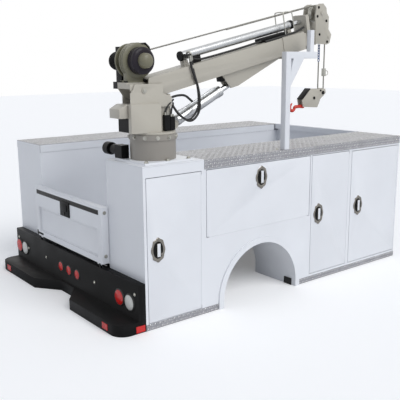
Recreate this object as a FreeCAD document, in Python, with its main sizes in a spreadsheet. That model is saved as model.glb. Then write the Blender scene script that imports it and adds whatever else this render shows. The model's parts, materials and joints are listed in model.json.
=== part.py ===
import FreeCAD, Part
import math
import os
import re
import Sketcher
from FreeCAD import Placement, Rotation, Vector

# A service truck body with a telescopic crane on its right rear compartment.
# X points to the right of the truck, Y forwards and Z up, in millimetres.
# The origin is midway along the whole length, on the ground line of the compartments.

doc = FreeCAD.newDocument("crane_service_body")
sheet = doc.addObject("Spreadsheet::Sheet", "sizes")

# Driving dimensions: name, value
SIZES = [
    ("body_width", 1980),
    ("body_length", 2743),
    ("pack_depth", 457),
    ("pack_height", 1118),
    ("deck_thick", 7),
    ("cover_lip", 64),
    ("cover_sheet", 3),
    ("crane_bay", 504),
    ("frame_thick", 32),
    ("sheet_wall", 4),
    ("door_thick", 26),
    ("door_gap", 5),
    ("hinge_radius", 2.2),
    ("latch_plate", 4),
    ("latch_width", 100),
    ("latch_tall", 160),
    ("latch_handle", 10),
    ("arch_radius", 375),
    ("arch_y", 1052),
    ("arch_z", 55),
    ("flare_width", 45),
    ("flare_proud", 12),
    ("strip_tall", 44),
    ("strip_thick", 2),
    ("mid_floor_z", 516),
    ("rear_partition_y", 500),
    ("mid_partition_y", 1588),
    ("front_partition_y", 2070),
    ("bed_floor_z", 370),
    ("bed_floor_thick", 8),
    ("cross_sill_tall", 62),
    ("cross_sill_width", 60),
    ("long_sill_tall", 100),
    ("long_sill_width", 76),
    ("long_sill_inset", 139),
    ("bulkhead_rail", 50),
    ("bumper_reach", 57),
    ("bumper_plate", 6),
    ("bumper_top", 335),
    ("step_reach", 217),
    ("step_tall", 80),
    ("step_corner", 100),
    ("notch_outer", 303),
    ("notch_inner", 111),
    ("notch_reach", 77),
    ("lamp_radius", 55),
    ("lamp_depth", 6),
    ("lamp_z", 190),
    ("lamp_red_in", 237),
    ("lamp_white_in", 107),
    ("lamp_red_out", 60),
    ("lamp_white_out", 178),
    ("marker_radius", 36),
    ("marker_pitch", 135),
    ("marker_wide", 70),
    ("marker_tall", 44),
    ("marker_depth", 3),
    ("gate_lap", 7),
    ("gate_low", 371),
    ("gate_top", 780),
    ("gate_outer", 62),
    ("gate_clear", 5),
    ("gate_pin_y", 50),
    ("gate_pin_z", 360),
    ("gate_pin_radius", 5),
    ("ear_inset", 60),
    ("ear_wide", 20),
    ("paddle_wide", 140),
    ("paddle_tall", 110),
    ("paddle_proud", 8),
    ("rest_tube", 50),
    ("rest_post_y", 1285),
    ("rest_arm_end", 1620),
    ("rest_arm_rise", 672),
    ("rest_bar_gap", 40),
    ("rest_stub_rise", 882),
    ("rest_stub_side", 40),
    ("crane_inset", 228),
    ("crane_y", 240),
    ("base_side", 390),
    ("base_thick", 12),
    ("pedestal_radius", 157),
    ("pedestal_tall", 170),
    ("flange_tall", 36),
    ("flange_out", 7),
    ("turret_gap", 0.3),
    ("turret_disc", 16),
    ("turret_half", 72),
    ("turret_back", 165),
    ("turret_front", 101),
    ("collar_tall", 25),
    ("plate_clear", 5),
    ("plate_thick", 8),
    ("plate_ahead", 151),
    ("plate_behind", 60),
    ("shoulder_rise", 387),
    ("cover_back", 235),
    ("cover_reach", 107),
    ("pivot_back", 120),
    ("pivot_rise", 472),
    ("pivot_pin", 20),
    ("pin_gap", 0.3),
    ("lug_radius", 60),
    ("receiver_half", 62),
    ("receiver_deep", 131),
    ("receiver_tall", 90),
    ("boom_tilt", 12.6),
    ("boom_half", 75),
    ("boom_rise", 66.5),
    ("boom_wall", 8),
    ("boom_start", 62),
    ("boom_end", 1557),
    ("root_back", 100),
    ("root_front", 44),
    ("foot_low", 42),
    ("foot_side", 30),
    ("foot_thick", 10),
    ("winch_ahead", 2),
    ("winch_up", 190),
    ("flange_radius", 116),
    ("wheel_radius", 88),
    ("dome_radius", 48),
    ("drum_radius", 36),
    ("rope_radius", 5),
    ("rope_aside", 36),
    ("cylinder_up", 135),
    ("barrel_radius", 30),
    ("barrel_start", 395),
    ("barrel_end", 1500),
    ("rod_radius", 18),
    ("inner_half", 58),
    ("inner_rise", 50),
    ("inner_start", 420),
    ("inner_end", 1740),
    ("pad_gap", 0.3),
    ("head_plate", 10),
    ("sheave_along", 1795),
    ("sheave_up", 165),
    ("sheave_groove", 57),
    ("sheave_rim", 68),
    ("low_sheave_along", 1842),
    ("low_sheave_down", 33),
    ("low_groove", 28),
    ("low_rim", 40),
    ("fall_offset", 33.5),
    ("block_rise", 397),
    ("block_half", 28),
    ("block_plate", 8),
    ("chain_rise", 645),
    ("link_long", 36),
    ("link_wide", 26),
    ("link_bar", 6),
    ("weight_rise", 530),
    ("weight_radius", 18),
    ("weight_tall", 62),
    ("hose_radius", 8),
    ("lift_base_ahead", 160),
    ("lift_base_rise", 234),
    ("lift_eye_along", 805),
    ("lift_eye_down", 155),
    ("lift_barrel_radius", 36),
    ("lift_rod_radius", 20),
    ("lift_barrel_length", 480),
    ("lift_neck", 42),
    ("lift_wall", 6),
    ("lift_cap", 8),
    ("lift_piston", 28),
]

for row, (alias, value) in enumerate(SIZES, start=1):
    sheet.set(f"A{row}", alias)
    sheet.set(f"B{row}", str(value))
    sheet.setAlias(f"B{row}", alias)
doc.recompute()

ALIAS_WORDS = re.compile(r"\b(" + "|".join(name for name, value in SIZES) + r")\b")


def bound(text):
    """A formula in the sheet's words, as the document's expressions want it."""
    return ALIAS_WORDS.sub(r"sizes.\1", str(text))


# Planes and lines that several pieces share, as formulas
REAR = "((step_reach + marker_depth - body_length) / 2)"
SIDE = "(body_width / 2)"
INNER = "(body_width / 2 - pack_depth)"
WALL_IN = "(body_width / 2 - pack_depth + sheet_wall)"
FRAME_IN = "(body_width / 2 - frame_thick)"
UNDER_COVER = "(pack_height - deck_thick)"
COVER_TOP = "(pack_height - deck_thick + cover_sheet)"
GATE_HALF = f"({INNER} + gate_lap)"
ARM_Z = "(pack_height + rest_arm_rise)"
CRANE_X = "(body_width / 2 - crane_inset)"
PEDESTAL_TOP = "(pack_height + base_thick + pedestal_tall)"
DISC_LOW = f"({PEDESTAL_TOP} + turret_gap)"
DISC_TOP = f"({PEDESTAL_TOP} + turret_disc)"
SHOULDER_Z = "(pack_height + shoulder_rise)"
PIVOT_Z = "(pack_height + pivot_rise)"
BLOCK_Z = "(pack_height + block_rise)"
LIFT_BASE_Z = "(pack_height + lift_base_rise)"
PLATE_IN = "(boom_half + plate_clear)"
PLATE_OUT = "(boom_half + plate_clear + plate_thick)"

# Places from which positions are given: x, y, z formulas
BODY = ("0", REAR, "0")
CRANE = (CRANE_X, f"({REAR} + crane_y)", "0")
LOCAL = ("0", "0", "0")

AXES = {
    "x": Rotation(Vector(0, 0, 1), Vector(1, 0, 0)),
    "y": Rotation(Vector(0, 0, 1), Vector(0, 1, 0)),
    "z": Rotation(),
}
PLANES = {
    "side": Rotation(0.5, 0.5, 0.5, 0.5),
    "rear": Rotation(Vector(1, 0, 0), 90),
    "top": Rotation(),
}
NODES = []


def place(part, spot, x, y, z):
    for axis, start, shift in zip("xyz", spot, (x, y, z)):
        part.setExpression(f"Placement.Base.{axis}", bound(f"{start} + ({shift})"))


def block(name, spot, x, y, z, across, along, tall):
    part = doc.addObject("Part::Box", name)
    part.setExpression("Length", bound(across))
    part.setExpression("Width", bound(along))
    part.setExpression("Height", bound(tall))
    place(part, spot, x, y, z)
    return part


def rod(name, spot, axis, x, y, z, radius, length):
    part = doc.addObject("Part::Cylinder", name)
    part.Placement = Placement(Vector(), AXES[axis])
    part.setExpression("Radius", bound(radius))
    part.setExpression("Height", bound(length))
    place(part, spot, x, y, z)
    return part


def ring(name, spot, x, y, z, radius, thick):
    """A ring of round section whose axis lies along X."""
    part = doc.addObject("Part::Torus", name)
    part.Placement = Placement(Vector(), AXES["x"])
    part.setExpression("Radius1", bound(radius))
    part.setExpression("Radius2", bound(thick))
    place(part, spot, x, y, z)
    return part


def outline(name, spot, plane, shift, points, thick, both_ways=False):
    """A plate: a closed outline of formulas, given its thickness square to its plane."""
    sketch = doc.addObject("Sketcher::SketchObject", name + "_outline")
    sketch.Placement = Placement(Vector(), PLANES[plane])
    place(sketch, spot, *shift)
    count = len(points)
    spread = [Rotation(Vector(0, 0, 1), 360.0 * i / count).multVec(Vector(100, 0, 0)) for i in range(count)]
    for i in range(count):
        sketch.addGeometry(Part.LineSegment(spread[i], spread[(i + 1) % count]), False)
    for i in range(count):
        sketch.addConstraint(Sketcher.Constraint("Coincident", i, 2, (i + 1) % count, 1))
    for i, (u, v) in enumerate(points):
        for kind, start, formula in (("DistanceX", spread[i].x, u), ("DistanceY", spread[i].y, v)):
            index = sketch.addConstraint(Sketcher.Constraint(kind, -1, 1, i, 1, start))
            sketch.setExpression(f"Constraints[{index}]", bound(formula))
    part = doc.addObject("Part::Extrusion", name)
    part.Base = sketch
    part.DirMode = "Normal"
    part.Solid = True
    part.Symmetric = both_ways
    part.setExpression("LengthFwd", bound(thick))
    return part


def turned(name, spot, shift, points):
    """A solid turned about X: the outline gives places along X and radii."""
    sketch = doc.addObject("Sketcher::SketchObject", name + "_profile")
    place(sketch, spot, *shift)
    count = len(points)
    spread = [Rotation(Vector(0, 0, 1), 360.0 * i / count).multVec(Vector(100, 0, 0)) for i in range(count)]
    for i in range(count):
        sketch.addGeometry(Part.LineSegment(spread[i], spread[(i + 1) % count]), False)
    for i in range(count):
        sketch.addConstraint(Sketcher.Constraint("Coincident", i, 2, (i + 1) % count, 1))
    for i, (u, v) in enumerate(points):
        for kind, start, formula in (("DistanceX", spread[i].x, u), ("DistanceY", spread[i].y, v)):
            index = sketch.addConstraint(Sketcher.Constraint(kind, -1, 1, i, 1, start))
            sketch.setExpression(f"Constraints[{index}]", bound(formula))
    part = doc.addObject("Part::Revolution", name)
    part.Source = sketch
    part.Axis = Vector(1, 0, 0)
    part.Angle = 360
    part.Solid = True
    for axis, start, away in zip("xyz", spot, shift):
        part.setExpression(f"Base.{axis}", bound(f"{start} + ({away})"))
    return part


def fuse(name, parts):
    part = doc.addObject("Part::MultiFuse", name)
    part.Shapes = parts
    part.Refine = True
    return part


def cut(name, base, tools):
    tool = tools[0] if len(tools) == 1 else fuse(name + "_cutters", tools)
    part = doc.addObject("Part::Cut", name)
    part.Base = base
    part.Tool = tool
    part.Refine = True
    return part


def group(name, parts):
    part = doc.addObject("Part::Compound", name)
    part.Links = parts
    return part


def mirrored(name, source):
    part = doc.addObject("Part::Mirroring", name)
    part.Source = source
    part.Normal = Vector(1, 0, 0)
    return part


def node(part):
    NODES.append(part)
    return part


def both_sides(name, parts):
    """One node that holds right-hand solids and their left-hand twins."""
    twins = [mirrored(f"{part.Name}_left", part) for part in parts]
    return node(group(name, parts + twins))


def tip_with_boom(part):
    """Turns a piece drawn along a level boom to the boom's angle about its pivot."""
    part.Placement = Placement(Vector(), Rotation(Vector(1, 0, 0), 10))
    part.setExpression("Placement.Rotation.Angle", bound("boom_tilt"))
    place(part, CRANE, "0", "-pivot_back", PIVOT_Z)
    return part


def level(ahead, up):
    """A point given level about the boom's pivot, in the boom's own directions."""
    return (f"(({ahead}) * cos(boom_tilt) + ({up}) * sin(boom_tilt))",
            f"(({up}) * cos(boom_tilt) - ({ahead}) * sin(boom_tilt))")


def level_block(name, x, ahead, up, across, along, tall):
    """A block of the boom that lies level once the boom is tipped."""
    part = block(name, LOCAL, x, *level(ahead, up), across, along, tall)
    part.Placement = Placement(Vector(), Rotation(Vector(1, 0, 0), -10))
    part.setExpression("Placement.Rotation.Angle", bound("-boom_tilt"))
    place(part, LOCAL, x, *level(ahead, up))
    return part


def hose(name, points):
    """A tube in one upright plane along Y: straight runs joined by tangent arcs."""
    route = doc.addObject("Sketcher::SketchObject", name + "_route")
    route.Placement = Placement(Vector(), PLANES["side"])
    corners = [Vector(u, v, 0) for u, v in points]
    start = corners[0]
    for before, corner, after in zip(corners, corners[1:], corners[2:]):
        into = corner - before
        away = after - corner
        reach = 0.45 * min(into.Length, away.Length)
        turn = into.getAngle(away)
        radius = reach / math.tan(turn / 2)
        into.normalize()
        away.normalize()
        inward = (away - into).normalize()
        arc_start = corner - into * reach
        arc_end = corner + away * reach
        arc_middle = corner + inward * (radius / math.cos(turn / 2) - radius)
        route.addGeometry(Part.LineSegment(start, arc_start), False)
        route.addGeometry(Part.Arc(arc_start, arc_middle, arc_end), False)
        start = arc_end
    route.addGeometry(Part.LineSegment(start, corners[-1]), False)
    first = corners[1] - corners[0]
    section = doc.addObject("Part::Circle", name + "_section")
    section.Placement = Placement(Vector(0, corners[0].x, corners[0].y),
                                  Rotation(Vector(0, 0, 1), Vector(0, first.x, first.y)))
    section.setExpression("Radius", bound("hose_radius"))
    tube = doc.addObject("Part::Sweep", name)
    tube.Sections = [section]
    tube.Spine = (route, [f"Edge{i + 1}" for i in range(route.GeometryCount)])
    tube.Solid = True
    return tube


# Compartment doors: name, rear edge, front edge, low edge, top edge, latch y, latch z, hinged along
DOORS = [
    ("door_rear", 25, 475, 50, "(pack_height - 81)", 107, 550, "front"),
    ("door_side", 525, 1575, 565, "(pack_height - 78)", 1045, "(pack_height - 180)", "bottom"),
    ("door_front_one", 1602, 2050, 65, "(pack_height - 81)", 1686, 559, "front"),
    ("door_front_two", 2090, 2725, 65, "(pack_height - 88)", 2189, 558, "front"),
]


def door_latch(name, y, z):
    """The raised oval latch with its folding handle."""
    half = "(latch_width / 2)"
    middle = "(latch_tall - latch_width)"
    return [
        block(name + "_plate", BODY, SIDE, f"{y} - {half}", f"{z} - {middle} / 2",
              "latch_plate", "latch_width", middle),
        rod(name + "_top", BODY, "x", SIDE, y, f"{z} + {middle} / 2", half, "latch_plate"),
        rod(name + "_low", BODY, "x", SIDE, y, f"{z} - {middle} / 2", half, "latch_plate"),
        block(name + "_handle", BODY, f"{SIDE} + latch_plate", f"{y} - latch_width * 0.12",
              f"{z} - latch_tall * 0.28", "latch_handle", "latch_width * 0.24", "latch_tall * 0.56"),
    ]


def door(name, rear, front, low, top, latch_y, latch_z, hinge):
    slab = block(name + "_slab", BODY, f"{SIDE} - door_thick", rear, low,
                 "door_thick", f"{front} - {rear}", f"{top} - {low}")
    if hinge == "front":
        barrel = rod(name + "_barrel", BODY, "z", SIDE, f"{front} + door_gap / 2", f"{low} + 20",
                     "hinge_radius", f"{top} - {low} - 40")
        leaf = block(name + "_leaf", BODY, f"{SIDE} - hinge_radius", f"{front} - 1", f"{low} + 20",
                     "hinge_radius * 2", "door_gap / 2 + 1", f"{top} - {low} - 40")
    else:
        barrel = rod(name + "_barrel", BODY, "y", SIDE, f"{rear} + 20", f"{low} - door_gap / 2",
                     "hinge_radius", f"{front} - {rear} - 40")
        leaf = block(name + "_leaf", BODY, f"{SIDE} - hinge_radius", f"{rear} + 20", f"{low} - door_gap / 2",
                     "hinge_radius * 2", f"{front} - {rear} - 40", "door_gap / 2 + 1")
    right = fuse(name + "_right", [slab, barrel, leaf] + door_latch(name + "_latch", latch_y, latch_z))
    node(right)
    node(mirrored(name + "_left", right))


for row in DOORS:
    door(*row)


# Side panels: one face frame a side, cut for its doors and its wheel
def side_panel():
    frame = block("side_frame", BODY, FRAME_IN, "0", "0", "frame_thick", "body_length", UNDER_COVER)
    cutters = []
    for name, rear, front, low, top, latch_y, latch_z, hinge in DOORS:
        cutters.append(block(name + "_opening", BODY, f"{FRAME_IN} - 1", f"{rear} - door_gap",
                             f"{low} - door_gap",
                             "frame_thick + 2", f"{front} - {rear} + 2 * door_gap",
                             f"{top} - {low} + 2 * door_gap"))
    cutters.append(rod("arch_round", BODY, "x", f"{FRAME_IN} - 1", "arch_y", "arch_z",
                       "arch_radius", "frame_thick + 2"))
    cutters.append(block("arch_legs", BODY, f"{FRAME_IN} - 1", "arch_y - arch_radius", "-1",
                         "frame_thick + 2", "2 * arch_radius", "arch_z + 1"))
    return cut("side_panel_right", frame, cutters)


right_panel = node(side_panel())
node(mirrored("side_panel_left", right_panel))

# Bed walls: the compartments' inner sheets, open below the floor where the wheels are
bed_wall = cut("bed_wall", block("bed_wall_sheet", BODY, INNER, "sheet_wall", "0",
                                 "sheet_wall", "body_length - 2 * sheet_wall", UNDER_COVER),
               [block("bed_wall_arch", BODY, f"{INNER} - 1", "arch_y - arch_radius", "-1",
                      "sheet_wall + 2", "2 * arch_radius", "bed_floor_z - bed_floor_thick + 1")])
both_sides("bed_walls", [bed_wall])

# End panels close the compartments at the rear and at the front
both_sides("end_panels", [
    block("end_rear", BODY, INNER, "0", "0", f"{FRAME_IN} - {INNER}", "sheet_wall", UNDER_COVER),
    block("end_front", BODY, INNER, "body_length - sheet_wall", "0",
          f"{FRAME_IN} - {INNER}", "sheet_wall", UNDER_COVER),
])

# Partitions between the compartments
both_sides("partitions", [
    block(f"partition_{i}", BODY, WALL_IN, f"{y} - sheet_wall / 2", "0",
          f"{FRAME_IN} - {WALL_IN}", "sheet_wall", UNDER_COVER)
    for i, y in enumerate(("rear_partition_y", "mid_partition_y", "front_partition_y"))
])

# Compartment floors: name, from y, to y, height
FLOORS = [
    ("floor_rear", "sheet_wall", "rear_partition_y - sheet_wall / 2", "0"),
    ("floor_side", "rear_partition_y + sheet_wall / 2", "mid_partition_y - sheet_wall / 2", "mid_floor_z"),
    ("floor_front_one", "mid_partition_y + sheet_wall / 2", "front_partition_y - sheet_wall / 2", "0"),
    ("floor_front_two", "front_partition_y + sheet_wall / 2", "body_length - sheet_wall", "0"),
]
both_sides("compartment_floors", [
    block(name, BODY, WALL_IN, start, z, f"{FRAME_IN} - {WALL_IN}", f"{end} - ({start})", "sheet_wall")
    for name, start, end, z in FLOORS
])

# Wheel wells: an arched sheet over each wheel, between the bed wall and the side panel
well_outer = fuse("well_outer", [
    rod("well_round", BODY, "x", WALL_IN, "arch_y", "arch_z", "arch_radius + sheet_wall",
        f"{FRAME_IN} - {WALL_IN}"),
    block("well_legs", BODY, WALL_IN, "arch_y - arch_radius - sheet_wall", "0",
          f"{FRAME_IN} - {WALL_IN}", "2 * (arch_radius + sheet_wall)", "arch_z"),
])
well = cut("wheel_well", well_outer, [
    rod("well_inside", BODY, "x", f"{WALL_IN} - 1", "arch_y", "arch_z", "arch_radius",
        f"{FRAME_IN} - {WALL_IN} + 2"),
    block("well_mouth", BODY, f"{WALL_IN} - 1", "arch_y - arch_radius", "-1",
          f"{FRAME_IN} - {WALL_IN} + 2", "2 * arch_radius", "arch_z + 1"),
    block("well_below", BODY, f"{WALL_IN} - 1", "arch_y - 2 * arch_radius", "-2 * arch_radius",
          f"{FRAME_IN} - {WALL_IN} + 2", "4 * arch_radius", "2 * arch_radius"),
])
both_sides("wheel_wells", [well])


# Tread plate covers on top of the compartments, with lips down both sides
def cover(name, start):
    length = f"body_length - ({start})"
    skin = block(name + "_skin", BODY, f"{INNER} - cover_sheet", start, f"{COVER_TOP} - cover_lip",
                 "pack_depth + 2 * cover_sheet", length, "cover_lip")
    inside = block(name + "_inside", BODY, INNER, f"{start} - 1", f"{COVER_TOP} - cover_lip - 1",
                   "pack_depth", f"{length} + 2", "cover_lip - cover_sheet + 1")
    return cut(name, skin, [inside])


cover_right = cover("cover_right", "crane_bay")
cover_left = mirrored("cover_left", cover("cover_left_twin", "0"))
node(group("top_covers", [cover_right, cover_left]))

# The crane stands on a thick deck over the rear right compartment, with its base plate
node(fuse("crane_deck", [
    block("deck_plate", BODY, INNER, "0", UNDER_COVER, "pack_depth", "crane_bay", "deck_thick"),
    block("base_plate", CRANE, "-base_side / 2", "-base_side / 2", "pack_height",
          "base_side", "base_side", "base_thick"),
]))

# Tread plate strips low on the sides
both_sides("rocker_strips", [
    block("strip_rear", BODY, SIDE, "0", "0", "strip_thick", "arch_y - arch_radius - flare_width",
          "strip_tall"),
    block("strip_front", BODY, SIDE, "arch_y + arch_radius + flare_width", "0", "strip_thick",
          "body_length - (arch_y + arch_radius + flare_width)", "strip_tall"),
])

# Raised flares round the wheel openings
flare_outer = fuse("flare_outer", [
    rod("flare_round", BODY, "x", SIDE, "arch_y", "arch_z", "arch_radius + flare_width", "flare_proud"),
    block("flare_legs", BODY, SIDE, "arch_y - arch_radius - flare_width", "0",
          "flare_proud", "2 * (arch_radius + flare_width)", "arch_z"),
])
flare = cut("flare", flare_outer, [
    rod("flare_inside", BODY, "x", f"{SIDE} - 1", "arch_y", "arch_z", "arch_radius", "flare_proud + 2"),
    block("flare_mouth", BODY, f"{SIDE} - 1", "arch_y - arch_radius", "-1",
          "flare_proud + 2", "2 * arch_radius", "arch_z + 1"),
    block("flare_below", BODY, f"{SIDE} - 1", "arch_y - 2 * arch_radius", "-2 * arch_radius",
          "flare_proud + 2", "4 * arch_radius", "2 * arch_radius"),
])
both_sides("wheel_flares", [flare])

# Black splash guards in front of the wheels' front edge
both_sides("splash_guards", [
    block("splash_guard", BODY, f"{FRAME_IN} - 80", "arch_y + arch_radius - 6", "0",
          "80", "6", "arch_z"),
])

# The load bed: floor, sills below it and the front bulkhead
node(block("bed_floor", BODY, f"-{INNER}", "0", "bed_floor_z - bed_floor_thick",
           f"2 * {INNER}", "body_length - sheet_wall", "bed_floor_thick"))
CROSS_SILLS = 6
SILL_TOP = "(bed_floor_z - bed_floor_thick)"
sill_parts = []
for i in range(CROSS_SILLS):
    sill_parts.append(block(f"cross_sill_{i}", BODY, f"-{INNER}",
                            f"60 + {i} * (body_length - 120 - cross_sill_width) / {CROSS_SILLS - 1}",
                            f"{SILL_TOP} - cross_sill_tall", f"2 * {INNER}", "cross_sill_width",
                            "cross_sill_tall"))
LONG_SILL_X = f"({INNER} - long_sill_inset)"
for name, x in (("long_sill_right", LONG_SILL_X), ("long_sill_left", f"-{LONG_SILL_X} - long_sill_width")):
    sill_parts.append(block(name, BODY, x, "30", f"{SILL_TOP} - cross_sill_tall - long_sill_tall",
                            "long_sill_width", "body_length - 60", "long_sill_tall"))
node(fuse("bed_sills", sill_parts))
RAIL_HALF = f"({INNER} - cover_sheet)"
node(fuse("bulkhead", [
    block("bulkhead_sheet", BODY, f"-{INNER}", "body_length - sheet_wall", "bed_floor_z",
          f"2 * {INNER}", "sheet_wall", f"{COVER_TOP} - cover_lip - bed_floor_z"),
    block("bulkhead_head", BODY, f"-{RAIL_HALF}", "body_length - sheet_wall", f"{COVER_TOP} - cover_lip",
          f"2 * {RAIL_HALF}", "sheet_wall", f"pack_height - {COVER_TOP} + cover_lip"),
    block("bulkhead_rail_bar", BODY, f"-{RAIL_HALF}", "body_length - bulkhead_rail",
          "pack_height - bulkhead_rail", f"2 * {RAIL_HALF}", "bulkhead_rail", "bulkhead_rail"),
]))


# Rear bumper: an upright panel over a stepped tread with a notch for the towing gear
def step_outline(name, inset, low, tall):
    edge = f"({SIDE} - {inset})"
    back = f"(-step_reach + {inset})"
    corner = f"(step_corner - {inset})"
    points = [
        (f"-{edge}", "0"), (f"-{edge}", "-step_reach + step_corner"),
        (f"-{edge} + {corner}", back),
        (f"-notch_outer - {inset}", back), (f"-notch_inner - {inset}", f"-notch_reach + {inset}"),
        (f"notch_inner + {inset}", f"-notch_reach + {inset}"), (f"notch_outer + {inset}", back),
        (f"{edge} - {corner}", back),
        (edge, "-step_reach + step_corner"), (edge, "0"),
    ]
    parts = [outline(name + "_tread", BODY, "top", ("0", "0", low), points, tall)]
    for side in ("-", ""):
        parts.append(rod(f"{name}_corner{len(parts)}", BODY, "z", f"{side}({edge} - {corner})",
                         f"{back} + {corner}", low, corner, tall))
    return fuse(name, parts)


bumper_parts = [
    block("bumper_face", BODY, f"-{SIDE}", "-bumper_reach", "step_tall", "body_width", "bumper_plate",
          "bumper_top - step_tall"),
    block("bumper_ledge", BODY, f"-{SIDE}", "-bumper_reach", "bumper_top - bumper_plate", "body_width",
          "bumper_reach", "bumper_plate"),
    block("bumper_end_right", BODY, f"{SIDE} - bumper_plate", "-bumper_reach", "step_tall", "bumper_plate",
          "bumper_reach", "bumper_top - step_tall"),
    block("bumper_end_left", BODY, f"-{SIDE}", "-bumper_reach", "step_tall", "bumper_plate",
          "bumper_reach", "bumper_top - step_tall"),
    cut("bumper_step", step_outline("step_outer", "0", "0", "step_tall"),
        [step_outline("step_inside", "bumper_plate", "-1", "step_tall - bumper_plate + 1")]),
]
GATE_EARS = (("right", f"{GATE_HALF} - ear_inset"), ("left", f"-{GATE_HALF} + ear_inset - ear_wide"))
for name, x in GATE_EARS:
    ear = fuse(f"gate_ear_{name}", [
        rod(f"gate_eye_{name}", BODY, "x", x, "-gate_pin_y", "gate_pin_z", "gate_pin_radius + 4",
            "ear_wide"),
        block(f"gate_stem_{name}", BODY, x, "-gate_pin_y - 6", "bumper_top", "ear_wide", "12",
              "gate_pin_z - bumper_top"),
    ])
    bumper_parts.append(cut(f"gate_ear_bored_{name}", ear, [
        rod(f"gate_bore_{name}", BODY, "x", f"{x} - 1", "-gate_pin_y", "gate_pin_z",
            "gate_pin_radius + pin_gap", "ear_wide + 2")]))
node(fuse("bumper", bumper_parts))

# Lamps on the bumper: name, x, radius, depth, and the square markers on the step
ROUND_RED = [
    ("lamp_red_right", f"{SIDE} - lamp_red_in", "lamp_radius", "lamp_depth"),
    ("lamp_red_left", f"-{SIDE} + lamp_red_out", "lamp_radius", "lamp_depth"),
    ("marker_left", "-marker_pitch", "marker_radius", "marker_depth"),
    ("marker_middle", "0", "marker_radius", "marker_depth"),
    ("marker_right", "marker_pitch", "marker_radius", "marker_depth"),
]
red = [rod(name, BODY, "y", x, f"-bumper_reach - {deep}", "lamp_z", radius, deep)
       for name, x, radius, deep in ROUND_RED]
red += [block(f"step_marker_{i}", BODY, x, "-step_reach - marker_depth", "(step_tall - marker_tall) / 2",
              "marker_wide", "marker_depth", "marker_tall")
        for i, x in enumerate((f"{SIDE} - 3 * marker_wide", f"-{SIDE} + 2 * marker_wide"))]
red += [block(f"end_marker_{i}", BODY, x, "-step_tall", "8", "marker_depth", "marker_wide", "marker_tall")
        for i, x in enumerate((SIDE, f"-{SIDE} - marker_depth"))]
node(group("red_lamps", red))
node(group("white_lamps", [
    rod(f"lamp_white_{i}", BODY, "y", x, "-bumper_reach - lamp_depth", "lamp_z", "lamp_radius", "lamp_depth")
    for i, x in enumerate((f"{SIDE} - lamp_white_in", f"-{SIDE} + lamp_white_out"))
]))

# Tailgate: a pressed panel with a recessed face, hinged at its foot
gate_slab = block("gate_slab", BODY, f"-{GATE_HALF}", "-gate_outer", "gate_low", f"2 * {GATE_HALF}",
                  "gate_outer - gate_clear", "gate_top - gate_low")
gate_recess = block("gate_recess", BODY, f"-{GATE_HALF} + 60", "-gate_outer - 1", "gate_low + 40",
                    f"2 * {GATE_HALF} - 120", "19", "gate_top - gate_low - 201")
gate_parts = [cut("gate_pressed", gate_slab, [gate_recess]),
              block("gate_paddle", BODY, "-paddle_wide / 2", "-gate_outer - paddle_proud",
                    "gate_top - 45 - paddle_tall", "paddle_wide", "paddle_proud", "paddle_tall")]
for name, pin_x, web_x in (
        ("right", f"{GATE_HALF} - ear_inset - ear_wide - 5", f"{GATE_HALF} - ear_inset - ear_wide - 5"),
        ("left", f"-{GATE_HALF} + ear_inset - ear_wide - 5", f"-{GATE_HALF} + ear_inset + 5")):
    gate_parts.append(rod(f"gate_pin_{name}", BODY, "x", pin_x, "-gate_pin_y", "gate_pin_z",
                          "gate_pin_radius", "2 * ear_wide + 10"))
    gate_parts.append(block(f"gate_web_{name}", BODY, web_x, "-gate_pin_y - gate_pin_radius", "gate_pin_z",
                            "ear_wide", "2 * gate_pin_radius", "gate_low - gate_pin_z + 1"))
node(fuse("tailgate", gate_parts))

# Boom rest: a braced post with a stub beside the boom and a bar under it
POST_X = f"({SIDE} - rest_tube)"
node(fuse("boom_rest", [
    block("rest_post", BODY, POST_X, "rest_post_y", COVER_TOP, "rest_tube", "rest_tube",
          f"{ARM_Z} + rest_tube - {COVER_TOP}"),
    block("rest_arm", BODY, POST_X, "rest_post_y", ARM_Z, "rest_tube",
          "rest_arm_end - rest_post_y", "rest_tube"),
    block("rest_stub", BODY, f"{SIDE} - rest_stub_side - 5", "rest_arm_end - 75", ARM_Z, "rest_stub_side",
          "rest_stub_side", f"pack_height + rest_stub_rise - {ARM_Z}"),
    block("rest_bar", BODY, f"{CRANE_X} + rest_bar_gap", "rest_arm_end - rest_tube", ARM_Z,
          f"{POST_X} - {CRANE_X} - rest_bar_gap", "rest_tube", "rest_tube"),
    outline("rest_brace", BODY, "side", (POST_X, "0", "0"), [
        ("rest_post_y + rest_tube - 5", f"{ARM_Z} - 210"), ("rest_post_y + 193", f"{ARM_Z} + 5"),
        ("rest_post_y + 78", f"{ARM_Z} + 5"), ("rest_post_y + rest_tube - 5", f"{ARM_Z} - 111")],
        "rest_tube"),
]))

# Crane foot: a round pedestal with its flange, and the worm drive that turns the turret
node(fuse("crane_pedestal", [
    rod("pedestal_drum", CRANE, "z", "0", "0", "pack_height + base_thick", "pedestal_radius",
        "pedestal_tall"),
    rod("pedestal_flange", CRANE, "z", "0", "0", f"{PEDESTAL_TOP} - flange_tall",
        "pedestal_radius + flange_out", "flange_tall"),
]))
# Swing drive: name, from x, radius, length
DRIVE = [("drive_body", "-250", "36", "62"), ("drive_neck", "-286", "26", "37"), ("drive_cap", "-345",
                                                                                  "44", "60")]
node(fuse("swing_motor", [
    block("worm_housing", CRANE, "-190", "-190", "pack_height + base_thick", "88", "60", "90"),
] + [rod(name, CRANE, "x", x, "-155", "pack_height + base_thick + 50", radius, length)
     for name, x, radius, length in DRIVE]))

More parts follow.
